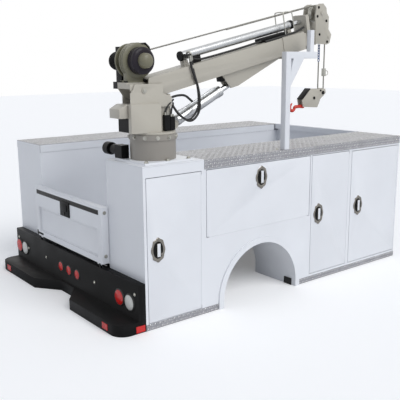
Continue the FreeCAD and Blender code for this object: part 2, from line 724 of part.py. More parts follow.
# Turret: the turning column that carries the boom
UNDER_BOOM = "(boom_rise + 8) / cos(boom_tilt)"
SHOULDER_FRONT = f"({PIVOT_Z} + (pivot_back + turret_front) * tan(boom_tilt) - {UNDER_BOOM})"
SHOULDER_BACK = f"({PIVOT_Z} + (pivot_back - 25) * tan(boom_tilt) - {UNDER_BOOM})"
COLLAR_LOW = f"({SHOULDER_Z} - collar_tall)"
turret_parts = [
    rod("turret_plate", CRANE, "z", "0", "0", DISC_LOW, "pedestal_radius", "turret_disc - turret_gap"),
    outline("turret_column", CRANE, "side", ("0", "0", "0"), [
        ("-turret_back", DISC_TOP), ("turret_front", DISC_TOP), ("turret_front", SHOULDER_FRONT),
        ("-25", SHOULDER_BACK), ("-25", SHOULDER_Z), ("-turret_back", SHOULDER_Z)],
        "2 * turret_half", True),
    block("turret_cover", CRANE, "turret_half", "-cover_back", DISC_TOP,
          "cover_reach - turret_half", "cover_back", f"{SHOULDER_Z} - {DISC_TOP}"),
    block("turret_collar", CRANE, f"-{PLATE_OUT}", "-turret_back", COLLAR_LOW,
          f"2 * {PLATE_OUT}", "turret_back + turret_front", "collar_tall"),
    outline("cheek_right", CRANE, "side", (PLATE_IN, "0", "0"), [
        ("-turret_back - plate_behind", COLLAR_LOW), ("turret_front", COLLAR_LOW),
        ("turret_front", f"{PIVOT_Z} - 45"), ("-pivot_back + plate_ahead", f"{PIVOT_Z} - 20"),
        ("-pivot_back + plate_ahead", f"{PIVOT_Z} + foot_low"), ("-pivot_back - 70",
                                                                 f"{PIVOT_Z} + foot_low"),
        ("-pivot_back - 83", f"{PIVOT_Z} + 10"), ("-turret_back - plate_behind", f"{PIVOT_Z} - 18")],
        "plate_thick"),
    block("cheek_left", CRANE, f"-{PLATE_OUT}", "-pivot_back - lug_radius", COLLAR_LOW,
          "plate_thick", "2 * lug_radius", f"{PIVOT_Z} - {COLLAR_LOW}"),
    rod("cheek_left_top", CRANE, "x", f"-{PLATE_OUT}", "-pivot_back", PIVOT_Z, "lug_radius", "plate_thick"),
    outline("receiver_box", CRANE, "side", ("0", "0", "0"), [
        ("-turret_back - receiver_deep", f"{SHOULDER_Z} - receiver_tall"),
        ("-turret_back + 1", f"{SHOULDER_Z} - receiver_tall"), ("-turret_back + 1", SHOULDER_Z),
        ("-turret_back - 75", SHOULDER_Z), ("-turret_back - receiver_deep", f"{SHOULDER_Z} - 30")],
        "2 * receiver_half", True),
    rod("lift_base_pin", CRANE, "x", "-46", "lift_base_ahead", LIFT_BASE_Z, "16", "92"),
]
for name, x in (("right", "30"), ("left", "-42")):
    turret_parts.append(block(f"lift_ear_{name}", CRANE, x, "turret_front - 1", f"{LIFT_BASE_Z} - 30", "12",
                              "lift_base_ahead - turret_front + 1", "60"))
    turret_parts.append(rod(f"lift_ear_end_{name}", CRANE, "x", x, "lift_base_ahead", LIFT_BASE_Z, "30",
                            "12"))
node(cut("turret", fuse("turret_solid", turret_parts), [
    rod("pivot_bore", CRANE, "x", f"-{PLATE_OUT} - 1", "-pivot_back", PIVOT_Z, "pivot_pin + pin_gap",
        f"2 * {PLATE_OUT} + 2")]))
node(group("valve_bank", [
    block("valve_rear", CRANE, "-70", "-turret_back - 60", f"{DISC_TOP} + 4", "140", "60", "86"),
    block("valve_one", CRANE, "turret_half", "34", f"{DISC_TOP} + 4", "28", "43", "104"),
    block("valve_two", CRANE, "turret_half", "82", f"{DISC_TOP} + 4", "26", "36", "92"),
]))

# Hose from the turret's front to the lift cylinder
turret_hose = hose("turret_hose", [(103, 30), (170, 44), (233, 44), (297, -4)])
place(turret_hose, CRANE, "60", "0", SHOULDER_Z)
node(turret_hose)

# Boom: drawn level from its pivot, then tipped
boom_shell = cut("boom_shell", block("boom_outside", LOCAL, "-boom_half", "boom_start", "-boom_rise",
                                     "2 * boom_half", "boom_end - boom_start", "2 * boom_rise"),
                 [block("boom_inside", LOCAL, "-boom_half + boom_wall", "boom_start - 1",
                        "-boom_rise + boom_wall", "2 * (boom_half - boom_wall)",
                        "boom_end - boom_start + 2", "2 * (boom_rise - boom_wall)")])
PAD_OUT = "(boom_half - boom_wall + 1)"
mouth_pad = cut("mouth_pad", block("mouth_pad_outside", LOCAL, f"-{PAD_OUT}", "boom_end - 57",
                                   "-boom_rise + boom_wall - 1", f"2 * {PAD_OUT}", "57",
                                   "2 * (boom_rise - boom_wall + 1)"),
                [block("mouth_pad_inside", LOCAL, "-inner_half - pad_gap", "boom_end - 58",
                       "-inner_rise - pad_gap", "2 * (inner_half + pad_gap)", "60",
                       "2 * (inner_rise + pad_gap)")])
boom_parts = [boom_shell, mouth_pad]
for name, x in (("right", "boom_half - boom_wall"), ("left", "-boom_half")):
    boom_parts.append(outline(f"root_side_{name}", LOCAL, "side", (x, "0", "0"), [
        level("-root_back", "foot_low - 2"), level("-root_back", "12"), level("-58", "-45"),
        ("0", "-boom_rise"), ("boom_start + 1", "-boom_rise"), ("boom_start + 1", "boom_rise - 2"),
        level("root_front", "foot_low - 2")], "boom_wall"))
ROOT_LENGTH = "(root_back + root_front)"
boom_parts += [
    level_block("root_cap", "-boom_half", "-root_back", "foot_low - 8", "2 * boom_half", ROOT_LENGTH, "8"),
    level_block("root_end", "-boom_half", "-root_back", "12", "2 * boom_half", "8", "foot_low - 13"),
    level_block("winch_foot", "-boom_half", "-root_back", "foot_low", "boom_half + foot_side",
                ROOT_LENGTH, "foot_thick"),
    rod("pivot_pin_bar", LOCAL, "x", f"-{PLATE_OUT} - 4", "0", "0", "pivot_pin", f"2 * ({PLATE_OUT} + 4)"),
]
for name, x in (("right", "28"), ("left", "-40")):
    boom_parts.append(outline(f"gusset_{name}", LOCAL, "side", (x, "0", "0"), [
        ("lift_eye_along - 100", "-boom_rise + 1"), ("lift_eye_along - 35", "-lift_eye_down - 25"),
        ("lift_eye_along + 35", "-lift_eye_down - 25"), ("lift_eye_along + 564", "-boom_rise + 1")], "12"))
for i, along in enumerate(("barrel_start + 10", "barrel_end - 60")):
    boom_parts.append(block(f"cylinder_stand_{i}", LOCAL, "-22", along, "boom_rise - 1", "44", "36",
                            "cylinder_up - barrel_radius - boom_rise + 1"))
node(tip_with_boom(fuse("boom", boom_parts)))

# Hose that hangs in a loop beside the boom, held at the extension cylinder's port
boom_hose = hose("boom_hose_loop", [
    (198, -154), (230, -225), (322, -310), (415, -255), (442, -110), (410, 50), (413, 124)])
place(boom_hose, LOCAL, "boom_half + 15", "0", "0")
node(tip_with_boom(fuse("boom_hose", [
    boom_hose,
    block("hose_port", LOCAL, "barrel_radius + pin_gap", "403", "cylinder_up - 12",
          "boom_half + 23 - barrel_radius", "20", "24"),
])))

# Extension cylinder on top of the boom
extension_tube = rod("extension_tube", LOCAL, "y", "0", "barrel_start", "cylinder_up", "barrel_radius",
                     "barrel_end - barrel_start")
barrel = cut("extension_barrel", extension_tube, [
    rod("extension_bore", LOCAL, "y", "0", "barrel_start + 20", "cylinder_up", "barrel_radius - 6",
        "barrel_end - barrel_start - 50"),
    rod("extension_gland", LOCAL, "y", "0", "barrel_start + 30", "cylinder_up", "rod_radius + pin_gap",
        "barrel_end - barrel_start"),
])
node(tip_with_boom(barrel))

# Winch: drum, ribbed gear case, wheel and domed cap, and the black motor
node_winch = fuse("winch", [
    turned("winch_turned", LOCAL, ("0", "0", "0"), [
        ("-90", "0.001"), ("-90", "flange_radius - 4"), ("-75", "flange_radius - 4"), ("-75", "drum_radius"),
        ("-30", "drum_radius"), ("-30", "flange_radius"), ("-16", "flange_radius"), ("-10",
                                                                                     "flange_radius - 5"),
        ("4", "flange_radius - 5"), ("10", "flange_radius"), ("24", "flange_radius"), ("30", "wheel_radius"),
        ("95", "wheel_radius"), ("99", "dome_radius"), ("138", "dome_radius - 4"), ("150", "26"),
        ("150", "0.001")]),
    block("winch_stand", LOCAL, "-28", "-84", "-winch_up + foot_low + foot_thick", "50",
          "84 + root_front - 4",
          "winch_up - foot_low - foot_thick - 60"),
    block("winch_sole", LOCAL, "-boom_half", "-84", "-winch_up + foot_low + foot_thick",
          "boom_half + foot_side - 2",
          "84 + root_front - 4", "12"),
])
place(node_winch, CRANE, "0", "-pivot_back + winch_ahead", f"{PIVOT_Z} + winch_up")
node(node_winch)
node_motor = fuse("winch_motor", [
    block("brake_case", LOCAL, "-160", "-58", "-winch_up + 53", "70", "116", "winch_up + 39"),
    rod("motor_case", LOCAL, "x", "-253", "0", "0", "58", "94"),
    block("motor_valve", LOCAL, "-200", "-60", "-winch_up + 7", "105", "80", "46"),
])
place(node_motor, CRANE, "0", "-pivot_back + winch_ahead", f"{PIVOT_Z} + winch_up")
node(node_motor)

# The rope from the drum towards the head, on the boom's side of the telescope
WINCH_ALONG = "(winch_ahead * cos(boom_tilt) + winch_up * sin(boom_tilt))"
WINCH_RISE = "(-winch_ahead * sin(boom_tilt) + winch_up * cos(boom_tilt))"
ROPE_RISE = "(sheave_up + sheave_groove + rope_radius)"
WOUND = f"({ROPE_RISE} - {WINCH_RISE} + rope_radius)"
wound_rope = cut("wound_rope", rod("wound_outside", LOCAL, "x", "-74", WINCH_ALONG, WINCH_RISE, WOUND, "43"),
                 [rod("wound_inside", LOCAL, "x", "-76", WINCH_ALONG, WINCH_RISE, "drum_radius + pin_gap",
                      "47")])
node(tip_with_boom(fuse("winch_rope", [
    wound_rope,
    rod("rope_strand", LOCAL, "y", "-rope_aside", WINCH_ALONG, ROPE_RISE, "rope_radius", "1740"),
])))

# Telescope: the inner tube with its pads and the head that carries the sheaves
inner_tube = cut("inner_tube", fuse("inner_outside", [
    block("inner_bar", LOCAL, "-inner_half", "inner_start", "-inner_rise", "2 * inner_half",
          "inner_end - inner_start", "2 * inner_rise"),
    block("inner_pad", LOCAL, "-boom_half + boom_wall + pad_gap", "inner_start",
          "-boom_rise + boom_wall + pad_gap", "2 * (boom_half - boom_wall - pad_gap)", "50",
          "2 * (boom_rise - boom_wall - pad_gap)"),
]), [block("inner_inside", LOCAL, "-inner_half + boom_wall", "inner_start - 1", "-inner_rise + boom_wall",
           "2 * (inner_half - boom_wall)", "inner_end - inner_start + 2", "2 * (inner_rise - boom_wall)")])
head_parts = [inner_tube]
HEAD_OUTLINE = [
    ("sheave_along - 46", "sheave_up + 67"), ("sheave_along - 15", "sheave_up + 75"),
    ("sheave_along + 32", "sheave_up + 69"), ("sheave_along + 62", "sheave_up + 29"),
    ("sheave_along + 61", "sheave_up - 10"), ("sheave_along + 80", "sheave_up - 45"),
    ("low_sheave_along + 11", "29"), ("low_sheave_along + 38", "-low_sheave_down + 12"),
    ("low_sheave_along + 5", "-low_sheave_down - 49"), ("low_sheave_along - 27", "-low_sheave_down - 54"),
    ("low_sheave_along - 160", "-inner_rise - 1"), ("sheave_along - 75", "sheave_up - 1"),
]
for name, x in (("right", "inner_half"), ("left", "-inner_half - head_plate")):
    head_parts.append(outline(f"head_plate_{name}", LOCAL, "side", (x, "0", "0"), HEAD_OUTLINE,
                              "head_plate"))
head_parts.append(rod("sheave_pin", LOCAL, "x", "-inner_half - 16", "sheave_along", "sheave_up", "14",
                      "2 * (inner_half + 16)"))
head_parts.append(rod("low_sheave_pin", LOCAL, "x", "-inner_half - 16", "low_sheave_along",
                      "-low_sheave_down",
                      "10", "2 * (inner_half + 16)"))
head_parts.append(block("head_bracket", LOCAL, "-inner_half - head_plate", "boom_end + 48",
                        "-inner_rise - 30",
                        "2 * (inner_half + head_plate)", "35", "cylinder_up + 48 + inner_rise + 30"))
# A slot under the tube lets the rope and the chain hang plumb when the boom is raised
SLOT_HALF = "(link_wide / 2 + 7)"
node(tip_with_boom(cut("boom_extension", fuse("extension_solid", head_parts), [
    block("fall_slot", LOCAL, f"-{SLOT_HALF}", "boom_end + 30", "-inner_rise - 31", f"2 * {SLOT_HALF}",
          "inner_end - boom_end - 29", "boom_wall + 32")])))
node(tip_with_boom(fuse("extension_rod", [
    rod("extension_rod_bar", LOCAL, "y", "0", "barrel_start + 60", "cylinder_up", "rod_radius",
        "boom_end + 48 - barrel_start - 60"),
    rod("extension_piston", LOCAL, "y", "0", "barrel_start + 40", "cylinder_up",
        "barrel_radius - 6 - pin_gap",
        "30"),
])))
grooved = []
for name, along, rise, groove, rim, bore, half in (
        ("top", "sheave_along", "sheave_up", "sheave_groove", "sheave_rim", "14", "20"),
        ("low", "low_sheave_along", "-low_sheave_down", "low_groove", "low_rim", "10", "14")):
    grooved.append(turned(f"sheave_{name}", LOCAL, ("0", along, rise), [
        (f"-{half}", f"{bore} + pin_gap"), (f"-{half}", rim), ("-6", groove), ("6", groove),
        (half, rim), (half, f"{bore} + pin_gap")]))
node(tip_with_boom(group("head_sheaves", grooved)))

# The rope on the telescope: back along the boom, over the top sheave, down to the low one
wrap_ring = ring("wrap_ring", LOCAL, "0", "sheave_along", "sheave_up", "sheave_groove + rope_radius + 0.5",
                 "rope_radius")
wrap_part = doc.addObject("Part::Common", "wrap_part")
wrap_part.Base = wrap_ring
wrap_part.Tool = block("wrap_window", LOCAL, "-20", "sheave_along", "sheave_up", "40", "90", "90")
node(tip_with_boom(fuse("head_rope", [
    rod("return_strand", LOCAL, "y", "0", "sheave_along - 950", f"{ROPE_RISE} + 0.5", "rope_radius", "950"),
    wrap_part,
])))

# Rope falls from the low sheave to the block, hanging plumb
HEAD_Y = "(-pivot_back + low_sheave_along * cos(boom_tilt) + low_sheave_down * sin(boom_tilt))"
HEAD_Z = f"({PIVOT_Z} + low_sheave_along * sin(boom_tilt) - low_sheave_down * cos(boom_tilt))"
CHAIN_Z = "(pack_height + chain_rise)"
node(group("rope_falls", [
    rod("front_fall", CRANE, "z", "0", f"{HEAD_Y} + fall_offset", BLOCK_Z, "rope_radius",
        f"{HEAD_Z} - {BLOCK_Z}"),
    rod("rear_fall", CRANE, "z", "0", f"{HEAD_Y} - fall_offset", BLOCK_Z, "rope_radius",
        f"{CHAIN_Z} - {BLOCK_Z}"),
]))


def link_outline(inset, corner):
    wide = f"(link_wide / 2 - {inset})"
    tall = f"(link_long / 2 - {inset})"
    return [
        (wide, f"-{tall} + {corner}"), (wide, f"{tall} - {corner}"), (f"{wide} - {corner}", tall),
        (f"-{wide} + {corner}", tall), (f"-{wide}", f"{tall} - {corner}"), (f"-{wide}",
                                                                            f"-{tall} + {corner}"),
        (f"-{wide} + {corner}", f"-{tall}"), (f"{wide} - {corner}", f"-{tall}")]


CHAIN_LINKS = 6
chain = []
for i in range(CHAIN_LINKS):
    middle = ("0", f"{HEAD_Y} - fall_offset",
              f"{CHAIN_Z} + link_long / 2 + {i} * (link_long - 2 * link_bar - pin_gap)")
    facing = ("side", "rear")[i % 2]
    bar = outline(f"link_{i}_bar", CRANE, facing, middle, link_outline("0", "link_bar"), "link_bar", True)
    eye = outline(f"link_{i}_eye", CRANE, facing, middle, link_outline("link_bar", "3"), "2 * link_bar",
                  True)
    chain.append(cut(f"link_{i}", bar, [eye]))
node(group("load_chain", chain))
weight_solid = rod("weight_solid", CRANE, "z", "0", f"{HEAD_Y} + fall_offset", "pack_height + weight_rise",
                   "weight_radius", "weight_tall")
node(cut("rope_weight", weight_solid, [
    rod("weight_bore", CRANE, "z", "0", f"{HEAD_Y} + fall_offset", "pack_height + weight_rise - 1",
        "rope_radius + pin_gap", "weight_tall + 2")]))

# Hook block: two plates round a sheave, tipped as it is stowed
BLOCK_SPOT = (CRANE_X, f"({REAR} + crane_y + {HEAD_Y})", BLOCK_Z)
BLOCK_OUTLINE = [
    ("-157", "36"), ("30", "31"), ("38", "-4"), ("-28", "-51"), ("-42", "-83"), ("-64", "-119"),
    ("-232", "-107"), ("-246", "-50"),
]
block_parts = [
    outline("block_plate_right", BLOCK_SPOT, "side", ("block_half - block_plate", "0", "0"), BLOCK_OUTLINE,
            "block_plate"),
    outline("block_plate_left", BLOCK_SPOT, "side", ("-block_half", "0", "0"), BLOCK_OUTLINE, "block_plate"),
    rod("block_pin", BLOCK_SPOT, "x", "-block_half - 4", "0", "0", "10", "2 * block_half + 8"),
    rod("block_tie", BLOCK_SPOT, "x", "-block_half - 4", "-106", "-40", "9", "2 * block_half + 8"),
    turned("block_sheave", BLOCK_SPOT, ("0", "0", "0"), [
        ("-14", "9"), ("-14", "38"), ("-6", "28"), ("6", "28"), ("14", "38"), ("14", "9")]),
]
node(fuse("hook_block", block_parts))
HOOK_OUTLINE = [
    ("118", "16"), ("22", "16"), ("18", "0"), ("12.7", "-12.7"), ("0", "-18"), ("-12.7", "-12.7"), ("-18",
                                                                                                    "0"),
    ("-12.7", "12.7"), ("-6", "17"), ("-14", "33"), ("-29", "22"), ("-37", "0"), ("-26", "-26"), ("0",
                                                                                                  "-37"),
    ("26", "-26"), ("36", "-8"), ("118", "-8"),
]
HOOK_SPOT = (CRANE_X, f"({REAR} + crane_y + {HEAD_Y} - 330)", f"({BLOCK_Z} - 108)")
node(fuse("load_hook", [
    outline("hook_body", HOOK_SPOT, "side", ("0", "0", "0"), HOOK_OUTLINE, "20", True),
    rod("hook_swivel", HOOK_SPOT, "x", "-block_half + block_plate", "106", "4", "15",
        "2 * (block_half - block_plate)"),
]))

# Lift cylinder, drawn level from its foot and then raised to the boom's eye
EYE_Y = "(-pivot_back + lift_eye_along * cos(boom_tilt) + lift_eye_down * sin(boom_tilt) - lift_base_ahead)"
EYE_Z = f"({PIVOT_Z} + lift_eye_along * sin(boom_tilt) - lift_eye_down * cos(boom_tilt) - {LIFT_BASE_Z})"
LIFT_LENGTH = f"(sqrt({EYE_Y} * {EYE_Y} + {EYE_Z} * {EYE_Z}))"


def raise_lift(part):
    part.Placement = Placement(Vector(), Rotation(Vector(1, 0, 0), 10))
    part.setExpression("Placement.Rotation.Angle", bound(f"atan({EYE_Z} / {EYE_Y})"))
    place(part, CRANE, "0", "lift_base_ahead", LIFT_BASE_Z)
    return part


lift_solid = fuse("lift_barrel_solid", [
    rod("lift_tube", LOCAL, "y", "0", "lift_neck", "0", "lift_barrel_radius",
        "lift_barrel_length - lift_neck"),
    rod("lift_foot_eye", LOCAL, "x", "-26", "0", "0", "28", "52"),
    block("lift_neck_block", LOCAL, "-26", "0", "-20", "52", "lift_neck + 1", "40"),
])
node(raise_lift(cut("lift_barrel", lift_solid, [
    rod("lift_foot_bore", LOCAL, "x", "-30", "0", "0", "16 + pin_gap", "60"),
    rod("lift_bore", LOCAL, "y", "0", "lift_neck + lift_cap", "0", "lift_barrel_radius - lift_wall",
        "lift_barrel_length - lift_neck - 3 * lift_cap"),
    rod("lift_gland", LOCAL, "y", "0", "lift_neck + lift_cap + 1", "0", "lift_rod_radius + pin_gap",
        "lift_barrel_length"),
])))
lift_rod_solid = fuse("lift_rod_solid", [
    rod("lift_piston_disc", LOCAL, "y", "0", "lift_neck + lift_cap + pin_gap", "0",
        "lift_barrel_radius - lift_wall - pin_gap", "lift_piston"),
    rod("lift_rod_bar", LOCAL, "y", "0", "lift_neck + lift_cap + pin_gap", "0", "lift_rod_radius",
        f"{LIFT_LENGTH} - lift_neck - lift_cap - lift_rod_radius"),
    rod("lift_eye", LOCAL, "x", "-24", LIFT_LENGTH, "0", "30", "48"),
])
node(raise_lift(cut("lift_rod", lift_rod_solid, [
    rod("lift_eye_bore", LOCAL, "x", "-25", LIFT_LENGTH, "0", "16", "50")])))

doc.recompute()

faults = []
for part in doc.Objects:
    if "Invalid" in part.State or "Error" in part.State:
        faults.append(f"{part.Name}: {part.State}")
for part in NODES:
    if part.Shape.isNull() or not part.Shape.isValid() or not part.Shape.Solids:
        faults.append(f"{part.Name}: bad shape")
if faults:
    raise RuntimeError("; ".join(faults))

os.makedirs("parts", exist_ok=True)
for part in NODES:
    part.Label = part.Name
    part.Shape.exportStep(f"parts/{part.Label}.step")
print(len(NODES), "nodes")
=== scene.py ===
"""Looks for a service truck body with a telescopic crane on its right rear compartment."""

import json
import math

import bmesh
import bpy
from mathutils import Matrix, Vector


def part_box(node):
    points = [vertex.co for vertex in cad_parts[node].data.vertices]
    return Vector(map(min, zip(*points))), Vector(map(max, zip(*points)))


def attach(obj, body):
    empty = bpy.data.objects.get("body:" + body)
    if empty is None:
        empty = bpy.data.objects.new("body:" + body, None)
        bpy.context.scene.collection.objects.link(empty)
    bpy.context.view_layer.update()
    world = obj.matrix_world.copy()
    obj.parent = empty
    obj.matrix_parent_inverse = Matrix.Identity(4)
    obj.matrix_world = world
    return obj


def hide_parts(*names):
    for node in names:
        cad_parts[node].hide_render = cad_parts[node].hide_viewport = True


bl_info = {
    "name": "Crane Service Body",
    "version": (1, 0, 0),
    "blender": (4, 5, 0),
    "location": "View3D > Sidebar > Service Body",
    "description": "Finishes, trim and stage for a service truck body with a crane",
    "category": "Object",
}

MM = 0.001
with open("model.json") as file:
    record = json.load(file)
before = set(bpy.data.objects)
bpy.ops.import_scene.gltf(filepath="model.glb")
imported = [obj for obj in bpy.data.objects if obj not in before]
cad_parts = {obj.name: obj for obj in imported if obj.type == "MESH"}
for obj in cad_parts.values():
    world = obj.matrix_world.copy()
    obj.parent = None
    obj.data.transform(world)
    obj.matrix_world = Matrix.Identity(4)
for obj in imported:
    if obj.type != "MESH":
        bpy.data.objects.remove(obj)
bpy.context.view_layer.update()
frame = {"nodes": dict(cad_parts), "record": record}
NODES = frame["nodes"]


def low(name):
    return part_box(name)[0]


def high(name):
    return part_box(name)[1]


# Planes that several pieces share, from the frame
SIDE_X = high("side_panel_right").x
REAR_Y = low("side_panel_right").y
FRONT_Y = high("side_panel_right").y
COVER_TOP = high("top_covers").z


class PaintColours(bpy.types.PropertyGroup):
    """Colours of the painted and coated surfaces."""

    body_white: bpy.props.StringProperty(
        name="Body white", description="Enamel of the body and doors, as a hex value", default="E3E5E9")
    crane_beige: bpy.props.StringProperty(
        name="Crane beige", description="Enamel of the boom and turret, as a hex value", default="B4AFA3")
    winch_olive: bpy.props.StringProperty(
        name="Winch olive", description="Enamel of the winch case, as a hex value", default="6F6C58")
    black: bpy.props.StringProperty(
        name="Black", description="Powder coat of the bumper and motors, as a hex value", default="17181A")
    hook_red: bpy.props.StringProperty(
        name="Hook red", description="Paint of the load hook, as a hex value", default="C8301E")
    chain_blue: bpy.props.StringProperty(
        name="Chain blue", description="Coating of the stop chain, as a hex value", default="1C4C8C")


class TreadSizes(bpy.types.PropertyGroup):
    """Raised lugs of the tread plate."""

    pitch: bpy.props.FloatProperty(
        name="Pitch", description="Distance between neighbouring lugs", default=0.027, unit="LENGTH")
    lug_length: bpy.props.FloatProperty(
        name="Lug length", description="Length of one lug", default=0.026, unit="LENGTH")
    lug_width: bpy.props.FloatProperty(
        name="Lug width", description="Width of one lug", default=0.0062, unit="LENGTH")
    lug_height: bpy.props.FloatProperty(
        name="Lug height", description="How far a lug stands up", default=0.0013, unit="LENGTH")


class StageSizes(bpy.types.PropertyGroup):
    """Camera and floor."""

    focal: bpy.props.FloatProperty(
        name="Focal length", description="Camera's focal length in millimetres", default=58.0)
    heading: bpy.props.FloatProperty(
        name="Heading", description="Turn of the camera to the left of straight ahead",
        default=math.radians(51.74), subtype="ANGLE")
    dip: bpy.props.FloatProperty(
        name="Dip", description="How far the camera looks down", default=math.radians(12.13), subtype="ANGLE")
    roll: bpy.props.FloatProperty(
        name="Roll", description="Turn of the camera about its own line of sight",
        default=math.radians(-0.38), subtype="ANGLE")
    stand: bpy.props.FloatVectorProperty(
        name="Stand", description="Where the camera stands", default=(4.397, -3.4830, 1.773),
        subtype="TRANSLATION")


# Node trees
def add_node(tree, kind, inputs=None, **settings):
    """A node with its settings; an input takes a plain value or the socket it is linked from."""
    made = tree.nodes.new(kind)
    for name, value in settings.items():
        setattr(made, name, value)
    for name, value in (inputs or {}).items():
        if isinstance(value, bpy.types.NodeSocket):
            tree.links.new(value, made.inputs[name])
        else:
            made.inputs[name].default_value = value
    return made


def colour(code):
    """A linear colour from an sRGB hex value."""
    parts = [int(code[i:i + 2], 16) / 255 for i in (0, 2, 4)]
    return tuple(p / 12.92 if p <= 0.04045 else ((p + 0.055) / 1.055) ** 2.4 for p in parts) + (1.0,)


def blank_material(name):
    """An empty material: its tree, its surface shader and the object coordinates."""
    made = bpy.data.materials.new(name)
    made.use_nodes = True
    tree = made.node_tree
    tree.nodes.clear()
    shader = add_node(tree, "ShaderNodeBsdfPrincipled")
    add_node(tree, "ShaderNodeOutputMaterial", {"Surface": shader.outputs["BSDF"]})
    place = add_node(tree, "ShaderNodeTexCoord").outputs["Object"]
    return made, tree, shader, place


def grain(tree, place, size_mm, detail=2.0, stretch=(1, 1, 1)):
    """Noise whose spots are about size_mm across."""
    scaled = add_node(tree, "ShaderNodeMapping", {"Vector": place, "Scale": stretch})
    return add_node(tree, "ShaderNodeTexNoise", {
        "Vector": scaled.outputs["Vector"], "Scale": 1000 / size_mm, "Detail": detail}).outputs["Fac"]


def shades(tree, factor, dark, light, start=0.3, end=0.7):
    """A factor turned into a range of colours."""
    ramp = add_node(tree, "ShaderNodeValToRGB", {"Fac": factor})
    ramp.color_ramp.elements[0].position = start
    ramp.color_ramp.elements[0].color = dark
    ramp.color_ramp.elements[1].position = end
    ramp.color_ramp.elements[1].color = light
    return ramp.outputs["Color"]


def rough_from(tree, factor, least, most):
    return add_node(tree, "ShaderNodeMapRange", {
        "Value": factor, "From Min": 0.3, "From Max": 0.7, "To Min": least, "To Max": most}).outputs["Result"]


def bump_from(tree, factor, depth_mm, strength=1.0):
    return add_node(tree, "ShaderNodeBump", {
        "Height": factor, "Distance": depth_mm * MM, "Strength": strength}).outputs["Normal"]


def tint(code, amount):
    """The colour made lighter or darker by a share."""
    return tuple(min(1.0, c * (1 + amount)) for c in colour(code)[:3]) + (1.0,)


def sprayed_enamel(name, code, least=0.28, most=0.4, coat=0.25):
    """Two-pack enamel sprayed on steel: the film pulls into a faint orange peel and clouds a little."""
    made, tree, shader, place = blank_material(name)
    clouds = grain(tree, place, 420, 3.0)
    peel = grain(tree, place, 3.2, 1.0)
    tree.links.new(shades(tree, clouds, tint(code, -0.035), tint(code, 0.02)), shader.inputs["Base Color"])
    tree.links.new(rough_from(tree, clouds, least, most), shader.inputs["Roughness"])
    tree.links.new(bump_from(tree, peel, 0.03, 0.5), shader.inputs["Normal"])
    shader.inputs["Coat Weight"].default_value = coat
    shader.inputs["Coat Roughness"].default_value = 0.08
    return made


def powder_coat(name, code, grit_mm=1.6, depth=0.12, least=0.3, most=0.45):
    """Baked powder coat: a fine even texture that breaks up its sheen."""
    made, tree, shader, place = blank_material(name)
    grit = grain(tree, place, grit_mm, 2.0)
    clouds = grain(tree, place, 260, 3.0)
    tree.links.new(shades(tree, clouds, tint(code, -0.15), tint(code, 0.25)), shader.inputs["Base Color"])
    tree.links.new(rough_from(tree, clouds, least, most), shader.inputs["Roughness"])
    tree.links.new(bump_from(tree, grit, depth, 0.6), shader.inputs["Normal"])
    shader.inputs["Specular IOR Level"].default_value = 0.15
    return made


def bare_metal(name, code, least, most, grain_mm=18, stretch=(1, 1, 1), depth=0.02):
    """Bare metal: handling marks vary its polish, and its finish follows the way it was worked."""
    made, tree, shader, place = blank_material(name)
    marks = grain(tree, place, 90, 4.0)
    lines = grain(tree, place, grain_mm, 3.0, stretch)
    tree.links.new(shades(tree, marks, tint(code, -0.12), tint(code, 0.06)), shader.inputs["Base Color"])
    tree.links.new(rough_from(tree, lines, least, most), shader.inputs["Roughness"])
    tree.links.new(bump_from(tree, lines, depth, 0.5), shader.inputs["Normal"])
    shader.inputs["Metallic"].default_value = 1.0
    return made


def moulded_rubber(name, code="141414"):
    """Moulded black rubber: dull, with a bloom that greys it in patches."""
    made, tree, shader, place = blank_material(name)
    bloom = grain(tree, place, 45, 4.0)
    pores = grain(tree, place, 1.4, 1.0)
    tree.links.new(shades(tree, bloom, colour(code), tint(code, 0.9)), shader.inputs["Base Color"])
    tree.links.new(rough_from(tree, bloom, 0.5, 0.68), shader.inputs["Roughness"])
    tree.links.new(bump_from(tree, pores, 0.05, 0.5), shader.inputs["Normal"])
    return made


def moulded_lens(name, code, cell_mm=9):
    """Polycarbonate lens: a glossy skin over rows of small prisms."""
    made, tree, shader, place = blank_material(name)
    cells = add_node(tree, "ShaderNodeTexVoronoi", {"Vector": place, "Scale": 1000 / cell_mm, "Randomness": 0.0})
    tree.links.new(shades(tree, cells.outputs["Distance"], tint(code, 0.15), tint(code, -0.35), 0.15, 0.6),
                   shader.inputs["Base Color"])
    tree.links.new(bump_from(tree, cells.outputs["Distance"], 0.6, 0.6), shader.inputs["Normal"])
    shader.inputs["Roughness"].default_value = 0.12
    shader.inputs["IOR"].default_value = 1.58
    return made


def laid_rope(name):
    """Galvanised wire rope: strands laid at a slant, with darker bands between them."""
    made, tree, shader, place = blank_material(name)
    strands = add_node(tree, "ShaderNodeTexWave", {
        "Vector": place, "Scale": 62.0, "Distortion": 0.6}, bands_direction="DIAGONAL")
    tree.links.new(shades(tree, strands.outputs["Fac"], colour("35332F"), colour("A5A39C")),
                   shader.inputs["Base Color"])
    tree.links.new(bump_from(tree, strands.outputs["Fac"], 0.6, 0.8), shader.inputs["Normal"])
    shader.inputs["Metallic"].default_value = 0.85
    shader.inputs["Roughness"].default_value = 0.42
    return made


def dress(material, *names):
    """Gives CAD nodes their finish."""
    for name in names:
        mesh = NODES[name].data
        mesh.materials.clear()
        mesh.materials.append(material)


DOORS = [f"door_{name}_{side}" for name in ("rear", "side", "front_one", "front_two")
         for side in ("right", "left")]
FINISHES = {}


